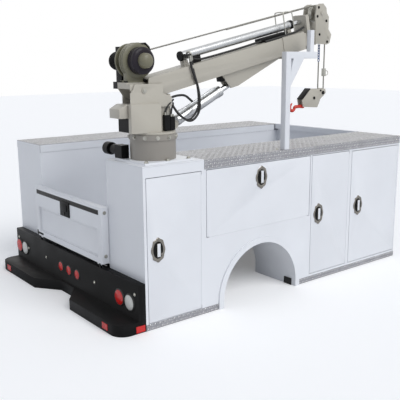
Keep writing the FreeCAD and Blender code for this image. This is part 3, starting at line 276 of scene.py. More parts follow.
class SERVICE_OT_finishes(bpy.types.Operator):
    """Make every finish and give the CAD nodes theirs"""

    bl_idname = "service.finishes"
    bl_label = "Finishes"

    def execute(self, context):
        paint = context.scene.service_paint
        FINISHES["body"] = sprayed_enamel("white_enamel", paint.body_white)
        FINISHES["crane"] = sprayed_enamel("beige_crane_enamel", paint.crane_beige, 0.3, 0.45, 0.2)
        FINISHES["winch"] = sprayed_enamel("olive_winch_enamel", paint.winch_olive, 0.35, 0.5, 0.15)
        FINISHES["bumper"] = powder_coat("black_powder_coat", "0A0A0B", 1.6, 0.12, 0.42, 0.56)
        FINISHES["motor"] = powder_coat("black_motor_paint", "101011", 3.0, 0.2, 0.36, 0.52)
        FINISHES["wheel"] = powder_coat("black_wheel_enamel", "2A262C", 5.0, 0.1, 0.2, 0.32)
        FINISHES["sill"] = powder_coat("black_frame_paint", "1D1D1E", 2.4, 0.15, 0.5, 0.65)
        # The column's enamel is the crane beige darkened in the same hue: painted shade.
        FINISHES["base"] = sprayed_enamel("column_enamel_painted_shade", "8F8A82", 0.3, 0.45, 0.2)
        FINISHES["tread"] = bare_metal("rolled_tread_aluminium", "A6A6AB", 0.3, 0.5, 30)
        FINISHES["lug"] = bare_metal("polished_lug_tops", "D3D3D2", 0.2, 0.34, 30)
        FINISHES["stainless"] = bare_metal("pressed_stainless", "8F8B84", 0.16, 0.32, 6, (1, 1, 8))
        FINISHES["zinc"] = bare_metal("zinc_plated_steel", "B4B3AC", 0.3, 0.5, 12)
        FINISHES["barrel"] = bare_metal("silver_cylinder_tube", "C4C6C8", 0.26, 0.38, 8, (8, 1, 1))
        FINISHES["chrome"] = bare_metal("hard_chromed_rod", "DADCDE", 0.06, 0.12, 20)
        FINISHES["rope"] = laid_rope("laid_wire_rope")
        FINISHES["rubber"] = moulded_rubber("moulded_black_rubber")
        FINISHES["red_lens"] = moulded_lens("red_polycarbonate", "E5211F")
        FINISHES["clear_lens"] = moulded_lens("clear_polycarbonate", "E9E8E2")
        FINISHES["hook"] = sprayed_enamel("red_hook_paint", paint.hook_red, 0.35, 0.5, 0.1)
        FINISHES["chain"] = sprayed_enamel("blue_chain_coating", paint.chain_blue, 0.35, 0.5, 0.1)

        dress(FINISHES["body"], *DOORS, "side_panel_right", "side_panel_left", "bed_walls", "end_panels",
              "partitions", "compartment_floors", "wheel_wells", "wheel_flares", "crane_deck", "bed_floor",
              "bulkhead", "tailgate", "boom_rest")
        # The pedestal takes the darkened beige: painted shade.
        dress(FINISHES["base"], "crane_pedestal")
        dress(FINISHES["crane"], "turret", "boom", "boom_extension", "hook_block")
        dress(FINISHES["winch"], "winch")
        dress(FINISHES["bumper"], "bumper")
        dress(FINISHES["motor"], "winch_motor", "swing_motor", "valve_bank")
        dress(FINISHES["sill"], "bed_sills")
        dress(FINISHES["tread"], "top_covers", "rocker_strips")
        dress(FINISHES["zinc"], "head_sheaves", "rope_weight")
        dress(FINISHES["barrel"], "extension_barrel", "lift_barrel")
        dress(FINISHES["chrome"], "extension_rod", "lift_rod")
        dress(FINISHES["rope"], "winch_rope", "head_rope", "rope_falls")
        dress(FINISHES["rubber"], "splash_guards", "turret_hose", "boom_hose")
        dress(FINISHES["red_lens"], "red_lamps")
        dress(FINISHES["clear_lens"], "white_lamps")
        dress(FINISHES["hook"], "load_hook")
        dress(FINISHES["chain"], "load_chain")
        return {"FINISHED"}


# Geometry node trees
def geometry_tree(name, inputs):
    """An empty geometry tree with named inputs: its group, its input node and its output node."""
    tree = bpy.data.node_groups.new(name, "GeometryNodeTree")
    tree.interface.new_socket("Geometry", in_out="INPUT", socket_type="NodeSocketGeometry")
    tree.interface.new_socket("Geometry", in_out="OUTPUT", socket_type="NodeSocketGeometry")
    for label, kind, value in inputs:
        socket = tree.interface.new_socket(label, in_out="INPUT", socket_type=kind)
        if value is not None:
            socket.default_value = value
    return tree, add_node(tree, "NodeGroupInput"), add_node(tree, "NodeGroupOutput")


def finish_tree(tree, output, geometry, material):
    """Ends a tree in plain geometry with its material."""
    real = add_node(tree, "GeometryNodeRealizeInstances", {"Geometry": geometry})
    coated = add_node(tree, "GeometryNodeSetMaterial", {"Geometry": real.outputs["Geometry"], "Material": material})
    tree.links.new(coated.outputs["Geometry"], output.inputs["Geometry"])


def lug_tree():
    """Raised lugs over a level sheet, each square to its neighbours."""
    tree, given, output = geometry_tree("tread_lugs", [
        ("Width", "NodeSocketFloat", 0.4), ("Length", "NodeSocketFloat", 1.0), ("Pitch", "NodeSocketFloat", 0.027),
        ("Lug Length", "NodeSocketFloat", 0.026), ("Lug Width", "NodeSocketFloat", 0.006),
        ("Lug Height", "NodeSocketFloat", 0.0013), ("Material", "NodeSocketMaterial", None)])
    counts = []
    for side in ("Width", "Length"):
        share = add_node(tree, "ShaderNodeMath", {0: given.outputs[side], 1: given.outputs["Pitch"]},
                         operation="DIVIDE")
        counts.append(add_node(tree, "ShaderNodeMath", {0: share.outputs[0]}, operation="FLOOR").outputs[0])
    sizes = [add_node(tree, "ShaderNodeMath", {0: given.outputs[side], 1: given.outputs["Pitch"]},
                      operation="SUBTRACT").outputs[0] for side in ("Width", "Length")]
    grid = add_node(tree, "GeometryNodeMeshGrid", {
        "Size X": sizes[0], "Size Y": sizes[1], "Vertices X": counts[0], "Vertices Y": counts[1]})
    spot = add_node(tree, "GeometryNodeInputPosition").outputs["Position"]
    apart = add_node(tree, "ShaderNodeSeparateXYZ", {"Vector": spot})
    index = add_node(tree, "GeometryNodeInputIndex").outputs["Index"]
    column = add_node(tree, "ShaderNodeMath", {0: index, 1: counts[1]}, operation="DIVIDE")
    whole = add_node(tree, "ShaderNodeMath", {0: column.outputs[0]}, operation="FLOOR")
    passed = add_node(tree, "ShaderNodeMath", {0: whole.outputs[0], 1: counts[1]}, operation="MULTIPLY")
    row = add_node(tree, "ShaderNodeMath", {0: index, 1: passed.outputs[0]}, operation="SUBTRACT")
    total = add_node(tree, "ShaderNodeMath", {0: row.outputs[0], 1: whole.outputs[0]}, operation="ADD")
    parity = add_node(tree, "ShaderNodeMath", {0: total.outputs[0], 1: 2.0}, operation="MODULO")
    turn = add_node(tree, "ShaderNodeMath", {0: parity.outputs[0], 1: math.pi / 2, 2: math.pi / 4},
                    operation="MULTIPLY_ADD")
    facing = add_node(tree, "ShaderNodeCombineXYZ", {"Z": turn.outputs[0]})
    lug = add_node(tree, "GeometryNodeMeshCone", {
        "Vertices": 8, "Radius Top": 0.28, "Radius Bottom": 0.5, "Depth": 1.0}, fill_type="NGON")
    shape = add_node(tree, "ShaderNodeCombineXYZ", {
        "X": given.outputs["Lug Length"], "Y": given.outputs["Lug Width"], "Z": given.outputs["Lug Height"]})
    lens = add_node(tree, "GeometryNodeTransform", {"Geometry": lug.outputs["Mesh"], "Scale": shape.outputs["Vector"]})
    spread = add_node(tree, "GeometryNodeInstanceOnPoints", {
        "Points": grid.outputs["Mesh"], "Instance": lens.outputs["Geometry"], "Rotation": facing.outputs["Vector"]})
    finish_tree(tree, output, spread.outputs["Instances"], given.outputs["Material"])
    return tree


def bolt_tree():
    """Fasteners on given points, each with its head along the point's own direction."""
    tree, given, output = geometry_tree("fasteners", [
        ("Sides", "NodeSocketInt", 6), ("Radius", "NodeSocketFloat", 0.008), ("Height", "NodeSocketFloat", 0.006),
        ("Washer", "NodeSocketFloat", 0.011), ("Material", "NodeSocketMaterial", None)])
    out = add_node(tree, "GeometryNodeInputNamedAttribute", {"Name": "out"}, data_type="FLOAT_VECTOR")
    facing = add_node(tree, "FunctionNodeAlignRotationToVector", {"Vector": out.outputs["Attribute"]}, axis="Z")
    crown = add_node(tree, "ShaderNodeMath", {0: given.outputs["Radius"], 1: 0.82}, operation="MULTIPLY")
    head = add_node(tree, "GeometryNodeMeshCone", {
        "Vertices": given.outputs["Sides"], "Radius Bottom": given.outputs["Radius"],
        "Radius Top": crown.outputs[0], "Depth": given.outputs["Height"]}, fill_type="NGON")
    ring = add_node(tree, "GeometryNodeMeshCylinder", {
        "Vertices": 14, "Radius": given.outputs["Washer"], "Depth": 0.002}, fill_type="NGON")
    raised = add_node(tree, "GeometryNodeTransform", {
        "Geometry": ring.outputs["Mesh"], "Translation": (0, 0, 0.001)})
    stack = add_node(tree, "GeometryNodeJoinGeometry")
    tree.links.new(head.outputs["Mesh"], stack.inputs["Geometry"])
    tree.links.new(raised.outputs["Geometry"], stack.inputs["Geometry"])
    spread = add_node(tree, "GeometryNodeInstanceOnPoints", {
        "Points": given.outputs["Geometry"], "Instance": stack.outputs["Geometry"],
        "Rotation": facing.outputs["Rotation"]})
    finish_tree(tree, output, spread.outputs["Instances"], given.outputs["Material"])
    return tree


def new_piece(name, mesh, body, material=None):
    """A finished mesh as a piece that moves with a body."""
    piece = bpy.data.objects.new(name, mesh)
    bpy.context.scene.collection.objects.link(piece)
    if material:
        mesh.materials.clear()
        mesh.materials.append(material)
    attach(piece, body)
    return piece


def run_tree(tree, source, values):
    """The plain mesh that a geometry tree makes on an object."""
    modifier = source.modifiers.new(tree.name, "NODES")
    modifier.node_group = tree
    sockets = {item.name: item.identifier for item in tree.interface.items_tree if item.in_out == "INPUT"}
    for name, value in values.items():
        modifier[sockets[name]] = value
    source.update_tag()
    bpy.context.view_layer.update()
    evaluated = source.evaluated_get(bpy.context.evaluated_depsgraph_get())
    mesh = bpy.data.meshes.new_from_object(evaluated)
    source.modifiers.remove(modifier)
    return mesh


def helper(name, points=(), directions=()):
    """A source of points, each with the direction that its fastener faces."""
    mesh = bpy.data.meshes.new(name)
    mesh.from_pydata([tuple(p) for p in points], [], [])
    if directions:
        out = mesh.attributes.new("out", "FLOAT_VECTOR", "POINT")
        for item, direction in zip(out.data, directions):
            item.vector = direction
    made = bpy.data.objects.new(name, mesh)
    bpy.context.scene.collection.objects.link(made)
    return made


# Mesh building
def finished(name, bm, body, material, smooth=35):
    """Turns a bmesh into a piece, smooth but for edges sharper than the given angle."""
    mesh = bpy.data.meshes.new(name)
    bm.to_mesh(mesh)
    bm.free()
    mesh.polygons.foreach_set("use_smooth", [True] * len(mesh.polygons))
    mesh.set_sharp_from_angle(angle=math.radians(smooth))
    return new_piece(name, mesh, body, material)


def merge(bm, part):
    """Adds one bmesh to another, with its faces turned outwards."""
    bmesh.ops.recalc_face_normals(part, faces=part.faces)
    mesh = bpy.data.meshes.new("part")
    part.to_mesh(mesh)
    part.free()
    bm.from_mesh(mesh)
    bpy.data.meshes.remove(mesh)


def add_prism(bm, corners, along, bevel=0.0, segments=2):
    """A plate: a closed outline carried along a vector, with its edges rounded."""
    part = bmesh.new()
    base = [part.verts.new(Vector(corner)) for corner in corners]
    face = part.faces.new(base)
    raised = bmesh.ops.extrude_face_region(part, geom=[face])["geom"]
    bmesh.ops.translate(part, vec=Vector(along), verts=[v for v in raised if isinstance(v, bmesh.types.BMVert)])
    if bevel:
        bmesh.ops.bevel(part, geom=list(part.edges), offset=bevel, segments=segments, profile=0.5, affect="EDGES")
    merge(bm, part)


def add_box(bm, lowest, highest, bevel=0.0, segments=2, turn=None):
    x0, y0, z0 = lowest
    x1, y1, z1 = highest
    corners = [Vector((x0, y0, z0)), Vector((x1, y0, z0)), Vector((x1, y1, z0)), Vector((x0, y1, z0))]
    along = Vector((0, 0, z1 - z0))
    if turn:
        corners = [turn @ corner for corner in corners]
        along = turn.to_3x3() @ along
    add_prism(bm, corners, along, bevel, segments)


def add_lathe(bm, centre, axis, profile, steps=48):
    """A turned form: (distance along the axis, radius) pairs spun about it."""
    part = bmesh.new()
    centre = Vector(centre)
    axis = Vector(axis).normalized()
    across = axis.orthogonal().normalized()
    rings = []
    for away, radius in profile:
        middle = centre + axis * away
        if radius < 1e-6:
            rings.append([part.verts.new(middle)])
        else:
            rings.append([part.verts.new(middle + Matrix.Rotation(math.tau * i / steps, 3, axis) @ across * radius)
                          for i in range(steps)])
    for before, after in zip(rings, rings[1:]):
        for i in range(steps):
            j = (i + 1) % steps
            if len(before) == 1 and len(after) == 1:
                continue
            if len(before) == 1:
                part.faces.new((before[0], after[i], after[j]))
            elif len(after) == 1:
                part.faces.new((before[i], before[j], after[0]))
            else:
                part.faces.new((before[i], before[j], after[j], after[i]))
    for ring in (rings[0], rings[-1]):
        if len(ring) > 1 and profile[0] != profile[-1]:
            part.faces.new(ring)
    if profile[0] == profile[-1]:
        bmesh.ops.remove_doubles(part, verts=part.verts, dist=1e-7)
    merge(bm, part)


def add_tube(bm, points, radius, smooth=True, resolution=3, order=3):
    """A round bar along a line of points."""
    curve = bpy.data.curves.new("line", "CURVE")
    curve.dimensions = "3D"
    spline = curve.splines.new("NURBS" if smooth else "POLY")
    spline.points.add(len(points) - 1)
    for point, place in zip(spline.points, points):
        point.co = (*place, 1)
    if smooth:
        spline.order_u = order
        spline.use_endpoint_u = True
    curve.bevel_depth = radius
    curve.bevel_resolution = resolution
    curve.use_fill_caps = True
    holder = bpy.data.objects.new("line", curve)
    bpy.context.scene.collection.objects.link(holder)
    bpy.context.view_layer.update()
    mesh = bpy.data.meshes.new_from_object(holder.evaluated_get(bpy.context.evaluated_depsgraph_get()))
    bpy.data.objects.remove(holder)
    bpy.data.curves.remove(curve)
    part = bmesh.new()
    part.from_mesh(mesh)
    bpy.data.meshes.remove(mesh)
    bmesh.ops.remove_doubles(part, verts=part.verts, dist=1e-6)
    merge(bm, part)


JOINTS = {joint["name"]: joint for joint in frame["record"]["behaviour"]["joints"]}
PIVOT = Vector(JOINTS["boom_luff"]["pos_m"])
ALONG = Vector(JOINTS["boom_telescope"]["axis"])
RISE = Vector((0, -ALONG.z, ALONG.y))
BOOM_TURN = Matrix.Translation(PIVOT) @ Matrix((
    (1, 0, 0, 0), (0, ALONG.y, RISE.y, 0), (0, ALONG.z, RISE.z, 0), (0, 0, 0, 1)))
SWING = Vector(JOINTS["turret_swing"]["pos_m"])


def on_boom(aside, along, up):
    """A place given from the boom's pivot: to the right, along the boom and square to it, in millimetres."""
    return BOOM_TURN @ (Vector((aside, along, up)) * MM)


def near_pivot(aside, ahead, up):
    """A place given level from the boom's pivot, in millimetres."""
    return PIVOT + Vector((aside, ahead, up)) * MM


def body_spot(x, y, z):
    """A place on the body: from its middle, from its rear and above its base, in millimetres."""
    return Vector((x * MM, REAR_Y + y * MM, z * MM))


def softened(node, body, material, width_mm, name=None, smooth=30):
    """A CAD node's own shape with its edges rounded, which stands for the node."""
    bm = bmesh.new()
    bm.from_mesh(NODES[node].data)
    bmesh.ops.remove_doubles(bm, verts=bm.verts, dist=1e-5)
    bmesh.ops.dissolve_limit(bm, angle_limit=math.radians(1.0), verts=bm.verts, edges=bm.edges)
    mesh = bpy.data.meshes.new(name or node + "_finished")
    bm.to_mesh(mesh)
    bm.free()
    piece = new_piece(mesh.name, mesh, body, material)
    bevel = piece.modifiers.new("edges", "BEVEL")
    bevel.width = width_mm * MM
    bevel.segments = 2
    bevel.limit_method = "ANGLE"
    bevel.angle_limit = math.radians(40)
    bevel.harden_normals = False
    bpy.context.view_layer.update()
    rounded = bpy.data.meshes.new_from_object(piece.evaluated_get(bpy.context.evaluated_depsgraph_get()))
    piece.modifiers.remove(bevel)
    piece.data = rounded
    rounded.polygons.foreach_set("use_smooth", [True] * len(rounded.polygons))
    rounded.set_sharp_from_angle(angle=math.radians(smooth))
    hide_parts(node)
    return piece


# Nodes whose edges are rounded: node, body, slot, finish, edge radius in millimetres
SOFTENED = [
    ("bumper", "service_body", "bumper_black", "bumper", 2.2),
    ("crane_deck", "service_body", "body_white", "body", 2.0),
    ("boom_rest", "service_body", "body_white", "body", 2.5),
    ("turret", "turret", "crane_tan", "crane", 2.0),
    ("boom", "boom", "crane_tan", "crane", 2.5),
    ("boom_extension", "boom_extension", "crane_tan", "crane", 2.0),
    ("hook_block", "hook_block", "crane_tan", "crane", 1.5),
    ("tailgate", "tailgate", "body_white", "body", 2.5),
    ("winch_motor", "boom", "motor_black", "motor", 4.0),
]
SOFTENED += [(door, door, "body_white", "body", 1.6) for door in DOORS]



def chain_tree():
    """Chain links on given points, each a round bar bent to a stadium and turned by its own angles."""
    tree, given, output = geometry_tree("chain_links", [
        ("Length", "NodeSocketFloat", 0.033), ("Width", "NodeSocketFloat", 0.022), ("Bar", "NodeSocketFloat", 0.0058),
        ("Material", "NodeSocketMaterial", None)])
    turn = add_node(tree, "GeometryNodeInputNamedAttribute", {"Name": "out"}, data_type="FLOAT_VECTOR")
    tall = add_node(tree, "ShaderNodeMath", {0: given.outputs["Length"], 1: given.outputs["Bar"]},
                    operation="SUBTRACT")
    wide = add_node(tree, "ShaderNodeMath", {0: given.outputs["Width"], 1: given.outputs["Bar"]},
                    operation="SUBTRACT")
    path = add_node(tree, "GeometryNodeCurvePrimitiveQuadrilateral", {
        "Width": wide.outputs[0], "Height": tall.outputs[0]})
    bend = add_node(tree, "ShaderNodeMath", {0: wide.outputs[0], 1: 0.49}, operation="MULTIPLY")
    round_path = add_node(tree, "GeometryNodeFilletCurve", {
        "Curve": path.outputs["Curve"], "Radius": bend.outputs[0], "Count": 5}, mode="POLY")
    half = add_node(tree, "ShaderNodeMath", {0: given.outputs["Bar"], 1: 0.5}, operation="MULTIPLY")
    section = add_node(tree, "GeometryNodeCurvePrimitiveCircle", {"Resolution": 10, "Radius": half.outputs[0]})
    bar = add_node(tree, "GeometryNodeCurveToMesh", {
        "Curve": round_path.outputs["Curve"], "Profile Curve": section.outputs["Curve"]})
    upright = add_node(tree, "GeometryNodeTransform", {
        "Geometry": bar.outputs["Mesh"], "Rotation": (math.pi / 2, 0, 0)})
    spread = add_node(tree, "GeometryNodeInstanceOnPoints", {
        "Points": given.outputs["Geometry"], "Instance": upright.outputs["Geometry"],
        "Rotation": turn.outputs["Attribute"]})
    finish_tree(tree, output, spread.outputs["Instances"], given.outputs["Material"])
    return tree


def add_hook(bm, points, radii, sides=14):
    """A round bar along a line of points whose thickness changes on the way."""
    curve = bpy.data.curves.new("hook", "CURVE")
    curve.dimensions = "3D"
    spline = curve.splines.new("NURBS")
    spline.points.add(len(points) - 1)
    for point, place, radius in zip(spline.points, points, radii):
        point.co = (*place, 1)
        point.radius = radius / 0.01
    spline.order_u = 3
    spline.use_endpoint_u = True
    curve.bevel_depth = 0.01
    curve.bevel_resolution = sides // 4
    curve.use_fill_caps = True
    holder = bpy.data.objects.new("hook", curve)
    bpy.context.scene.collection.objects.link(holder)
    bpy.context.view_layer.update()
    mesh = bpy.data.meshes.new_from_object(holder.evaluated_get(bpy.context.evaluated_depsgraph_get()))
    bpy.data.objects.remove(holder)
    bpy.data.curves.remove(curve)
    part = bmesh.new()
    part.from_mesh(mesh)
    bpy.data.meshes.remove(mesh)
    bmesh.ops.remove_doubles(part, verts=part.verts, dist=1e-6)
    merge(bm, part)


class SERVICE_OT_edges(bpy.types.Operator):
    """Round the edges of the folded and welded parts"""

    bl_idname = "service.edges"
    bl_label = "Rounded Edges"

    def execute(self, context):
        for node, body, slot, finish, width in SOFTENED:
            softened(node, body, FINISHES[finish], width)
        return {"FINISHED"}


class SERVICE_OT_tread(bpy.types.Operator):
    """Raise the lugs of the tread plate on the covers, their lips and the low strips"""

    bl_idname = "service.tread"
    bl_label = "Tread Plate"

    def execute(self, context):
        sizes = context.scene.service_tread
        tree = lug_tree()
        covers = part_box("top_covers")
        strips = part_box("rocker_strips")
        inner = high("bed_floor").x
        bay = high("crane_deck").y
        deep = inner - covers[1].x
        lip = high("crane_deck").z - 0.004 - 0.032
        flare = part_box("wheel_flares")
        # Patches: name, middle, width, length, the way its lugs face
        rows = [
            ("cover_right", ((inner + covers[1].x) / 2, (bay + FRONT_Y) / 2, COVER_TOP), -deep, FRONT_Y - bay, "up"),
            ("cover_left", (-(inner + covers[1].x) / 2, (REAR_Y + FRONT_Y) / 2, COVER_TOP), -deep,
             FRONT_Y - REAR_Y, "up"),
            ("lip_right", (covers[1].x, (bay + FRONT_Y) / 2, COVER_TOP - 0.032), 0.064, FRONT_Y - bay, "right"),
            ("lip_left", (covers[0].x, (REAR_Y + FRONT_Y) / 2, COVER_TOP - 0.032), 0.064, FRONT_Y - REAR_Y, "left"),
        ]
        for side, x, facing in (("right", strips[1].x, "right"), ("left", strips[0].x, "left")):
            for name, start, end in (("rear", REAR_Y, flare[0].y), ("front", flare[1].y, FRONT_Y)):
                rows.append((f"strip_{name}_{side}", (x, (start + end) / 2, strips[1].z / 2), strips[1].z,
                             end - start, facing))
        turns = {"up": Matrix(), "right": Matrix.Rotation(math.pi / 2, 4, "Y"),
                 "left": Matrix.Rotation(-math.pi / 2, 4, "Y")}
        groups = {}
        for name, middle, width, length, facing in rows:
            source = helper("lug_source")
            pitch = sizes.pitch if "cover" in name else sizes.pitch * 0.72
            scale = 1.0 if "cover" in name else 0.72
            mesh = run_tree(tree, source, {
                "Width": width, "Length": length, "Pitch": pitch, "Lug Length": sizes.lug_length * scale,
                "Lug Width": sizes.lug_width * scale, "Lug Height": sizes.lug_height, "Material": FINISHES["tread"]})
            bpy.data.objects.remove(source)
            mesh.transform(Matrix.Translation(middle) @ turns[facing]
                           @ Matrix.Translation((0, 0, sizes.lug_height / 2)))
            key = "covers" if "cover" in name else name.split("_")[0] + "s"
            groups.setdefault(key, bmesh.new()).from_mesh(mesh)
            bpy.data.meshes.remove(mesh)
        for key, bm in groups.items():
            finished(f"tread_lugs_{key}", bm, "service_body", FINISHES["lug"], 30)
        self.inner_lips()
        return {"FINISHED"}


    def inner_lips(self):
        """A white skin over the inner tread lip under each cover, facing the bed: painted highlight that makes the lip
        lighter than the tread plate.
        """
        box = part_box("top_covers")
        inner = min(abs(corner.co.x) for corner in NODES["top_covers"].data.vertices)
        skin = 0.0008
        # White skins over the aluminium lips: painted highlight.
        bm = bmesh.new()
        for side, start in ((1, high("crane_deck").y), (-1, REAR_Y)):
            face = side * (inner + 0.0003)
            add_box(bm, (min(face, face - side * skin), start + 0.002, box[0].z + 0.001),
                    (max(face, face - side * skin), FRONT_Y - 0.065, COVER_TOP - 0.003))
        finished("cover_inner_lips_painted_highlight", bm, "service_body", FINISHES["body"])


# Latches: the door, the middle of its latch from the door's rear and low corner, in millimetres
LATCHES = [("rear", 82, 500), ("side", 520, 373), ("front_one", 84, 494), ("front_two", 99, 493)]


class SERVICE_OT_latches(bpy.types.Operator):
    """Fit the oval stainless latches with their folding handles"""

    bl_idname = "service.latches"
    bl_label = "Latches"

    def execute(self, context):
        for name, along, up in LATCHES:
            for side, sign in (("right", 1), ("left", -1)):
                door = f"door_{name}_{side}"
                corner = low(door)
                middle = Vector((sign * SIDE_X, corner.y + along * MM, corner.z + up * MM))
                out = Vector((sign, 0, 0))
                self.rim(door, middle, out)
                self.dish(door, middle, out)
        return {"FINISHED"}

    def rim(self, door, middle, out):
        """A lobed oval rim: eight lobes round a stadium, pressed from sheet."""
        bm = bmesh.new()
        steps = 96
        rings = []
        for grow, proud in ((1.0, 0.0), (1.0, 0.0045), (0.96, 0.0062), (0.86, 0.0068), (0.78, 0.0055), (0.74, 0.0043)):
            ring = []
            for i in range(steps):
                angle = math.tau * i / steps
                lobe = 1 + 0.035 * math.cos(8 * angle)
                across = 0.055 * grow * lobe * math.cos(angle)
                tall = 0.083 * grow * lobe * math.sin(angle)
                ring.append(bm.verts.new(middle + out * proud + Vector((0, across, tall))))
            rings.append(ring)
        for before, after in zip(rings, rings[1:]):
            for i in range(steps):
                j = (i + 1) % steps
                bm.faces.new((before[i], before[j], after[j], after[i]))
        bm.faces.new(rings[-1])
        bm.faces.new(rings[0])
        bmesh.ops.recalc_face_normals(bm, faces=bm.faces)
        finished(f"{door}_latch_rim", bm, door, FINISHES["stainless"])

    def dish(self, door, middle, out):
        """The dish inside the rim, a thin black sheet that paints the shade of its hollow, and the handle that lies in
        it.
        """
        bm = bmesh.new()
        # A thin black sheet over the rim's face: painted shade of the dish's hollow.
        oval = [(math.cos(math.tau * i / 48) * 0.0385, math.sin(math.tau * i / 48) * 0.0585) for i in range(48)]
        add_prism(bm, [middle + out * 0.0046 + Vector((0, y, z)) for y, z in oval], out * 0.0006)
        finished(f"{door}_latch_dish_painted_shade", bm, door, FINISHES["motor"])
        bm = bmesh.new()
        lowest = middle + Vector((0, -0.0135, -0.047))
        highest = middle + out * 0.0136 + Vector((0, 0.0135, 0.047))
        add_box(bm, [min(a, b) for a, b in zip(lowest, highest)], [max(a, b) for a, b in zip(lowest, highest)],
                0.0045, 3)
        add_lathe(bm, middle + out * 0.004 + Vector((0, 0.026, -0.03)), out, [(0, 0.009), (0.006, 0.009),
                                                                             (0.007, 0.007), (0.007, 0)], 20)
        finished(f"{door}_latch_handle", bm, door, FINISHES["stainless"])


class SERVICE_OT_rear(bpy.types.Operator):
    """Dress the tailgate and the lamps in the bumper"""

    bl_idname = "service.rear"
    bl_label = "Tailgate and Lamps"

    def execute(self, context):
        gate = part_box("tailgate")
        face = body_spot(0, -62, 0).y
        half = gate[1].x
        top = gate[1].z
        # A black band across the tailgate under its top: painted shade along the top of the recess.
        bm = bmesh.new()
        add_box(bm, (-half + 0.035, face - 0.0015, top - 0.055), (half - 0.035, face + 0.002, top - 0.021), 0.0008)
        finished("tailgate_grip_strip", bm, "tailgate", FINISHES["rubber"])
        bm = bmesh.new()
        for z, tall, proud in ((-0.158, 0.005, 0.0025), (-0.172, 0.004, 0.0)):
            add_box(bm, (-half + 0.058, face - proud, top + z - tall), (half - 0.058, face + 0.003, top + z), 0.0012)
        finished("tailgate_folds", bm, "tailgate", FINISHES["body"])
        bm = bmesh.new()
        paddle = top - 0.045
        add_box(bm, (-0.073, face - 0.0105, paddle - 0.113), (0.073, face + 0.001, paddle + 0.003), 0.004, 3)
        add_box(bm, (-0.045, face - 0.016, paddle - 0.07), (0.045, face - 0.009, paddle - 0.02), 0.003, 3)
        add_lathe(bm, (0.0, face - 0.009, paddle - 0.088), (0, -1, 0), [(0, 0.012), (0.004, 0.012), (0.005, 0.01),
                                                                       (0.005, 0)], 24)
        finished("tailgate_paddle", bm, "tailgate", FINISHES["motor"])
        bm = bmesh.new()
        add_box(bm, (-half + 0.012, face - 0.003, gate[0].z + 0.03), (-half + 0.12, face + 0.001, gate[0].z + 0.045),
                0.001)
        add_box(bm, (-half + 0.012, face - 0.003, gate[0].z + 0.016), (-half + 0.026, face + 0.001,
                                                                      gate[0].z + 0.06), 0.001)
        finished("tailgate_strap", bm, "tailgate", FINISHES["motor"])
        self.lamps()
        return {"FINISHED"}

    def lamps(self):
        front = body_spot(0, -63, 0).y
        mark = body_spot(0, -60, 0).y
        z = 0.19
        red = [(SIDE_X - 0.237, front, 0.055), (-SIDE_X + 0.06, front, 0.055)]
        clear = [(SIDE_X - 0.107, front, 0.055), (-SIDE_X + 0.178, front, 0.055)]
        marks = [(x, mark, 0.036) for x in (-0.135, 0.0, 0.135)]
        for name, lamps, slot, finish in (("red", red + marks, "red_lens", "red_lens"),
                                          ("clear", clear, "clear_lens", "clear_lens")):
            bm = bmesh.new()
            for x, y, radius in lamps:
                dome = [(0, radius - 0.001), (0.003, radius - 0.0025), (0.0055, radius * 0.8), (0.0072, radius * 0.5),
                        (0.0078, 0)]
                add_lathe(bm, (x, y, z), (0, -1, 0), dome, 40)
            finished(f"lamp_lenses_{name}", bm, "service_body", FINISHES[finish])
        bm = bmesh.new()
        for x, y, radius in red + clear + marks:
            back = 0.006 if radius > 0.04 else 0.003
            add_lathe(bm, (x, y + back, z), (0, -1, 0), [
                (0, radius), (0, radius + 0.007), (back * 0.7, radius + 0.006), (back + 0.002, radius + 0.002),
                (back + 0.002, radius - 0.002), (back, radius), (0, radius)], 40)
        finished("lamp_grommets", bm, "service_body", FINISHES["rubber"])


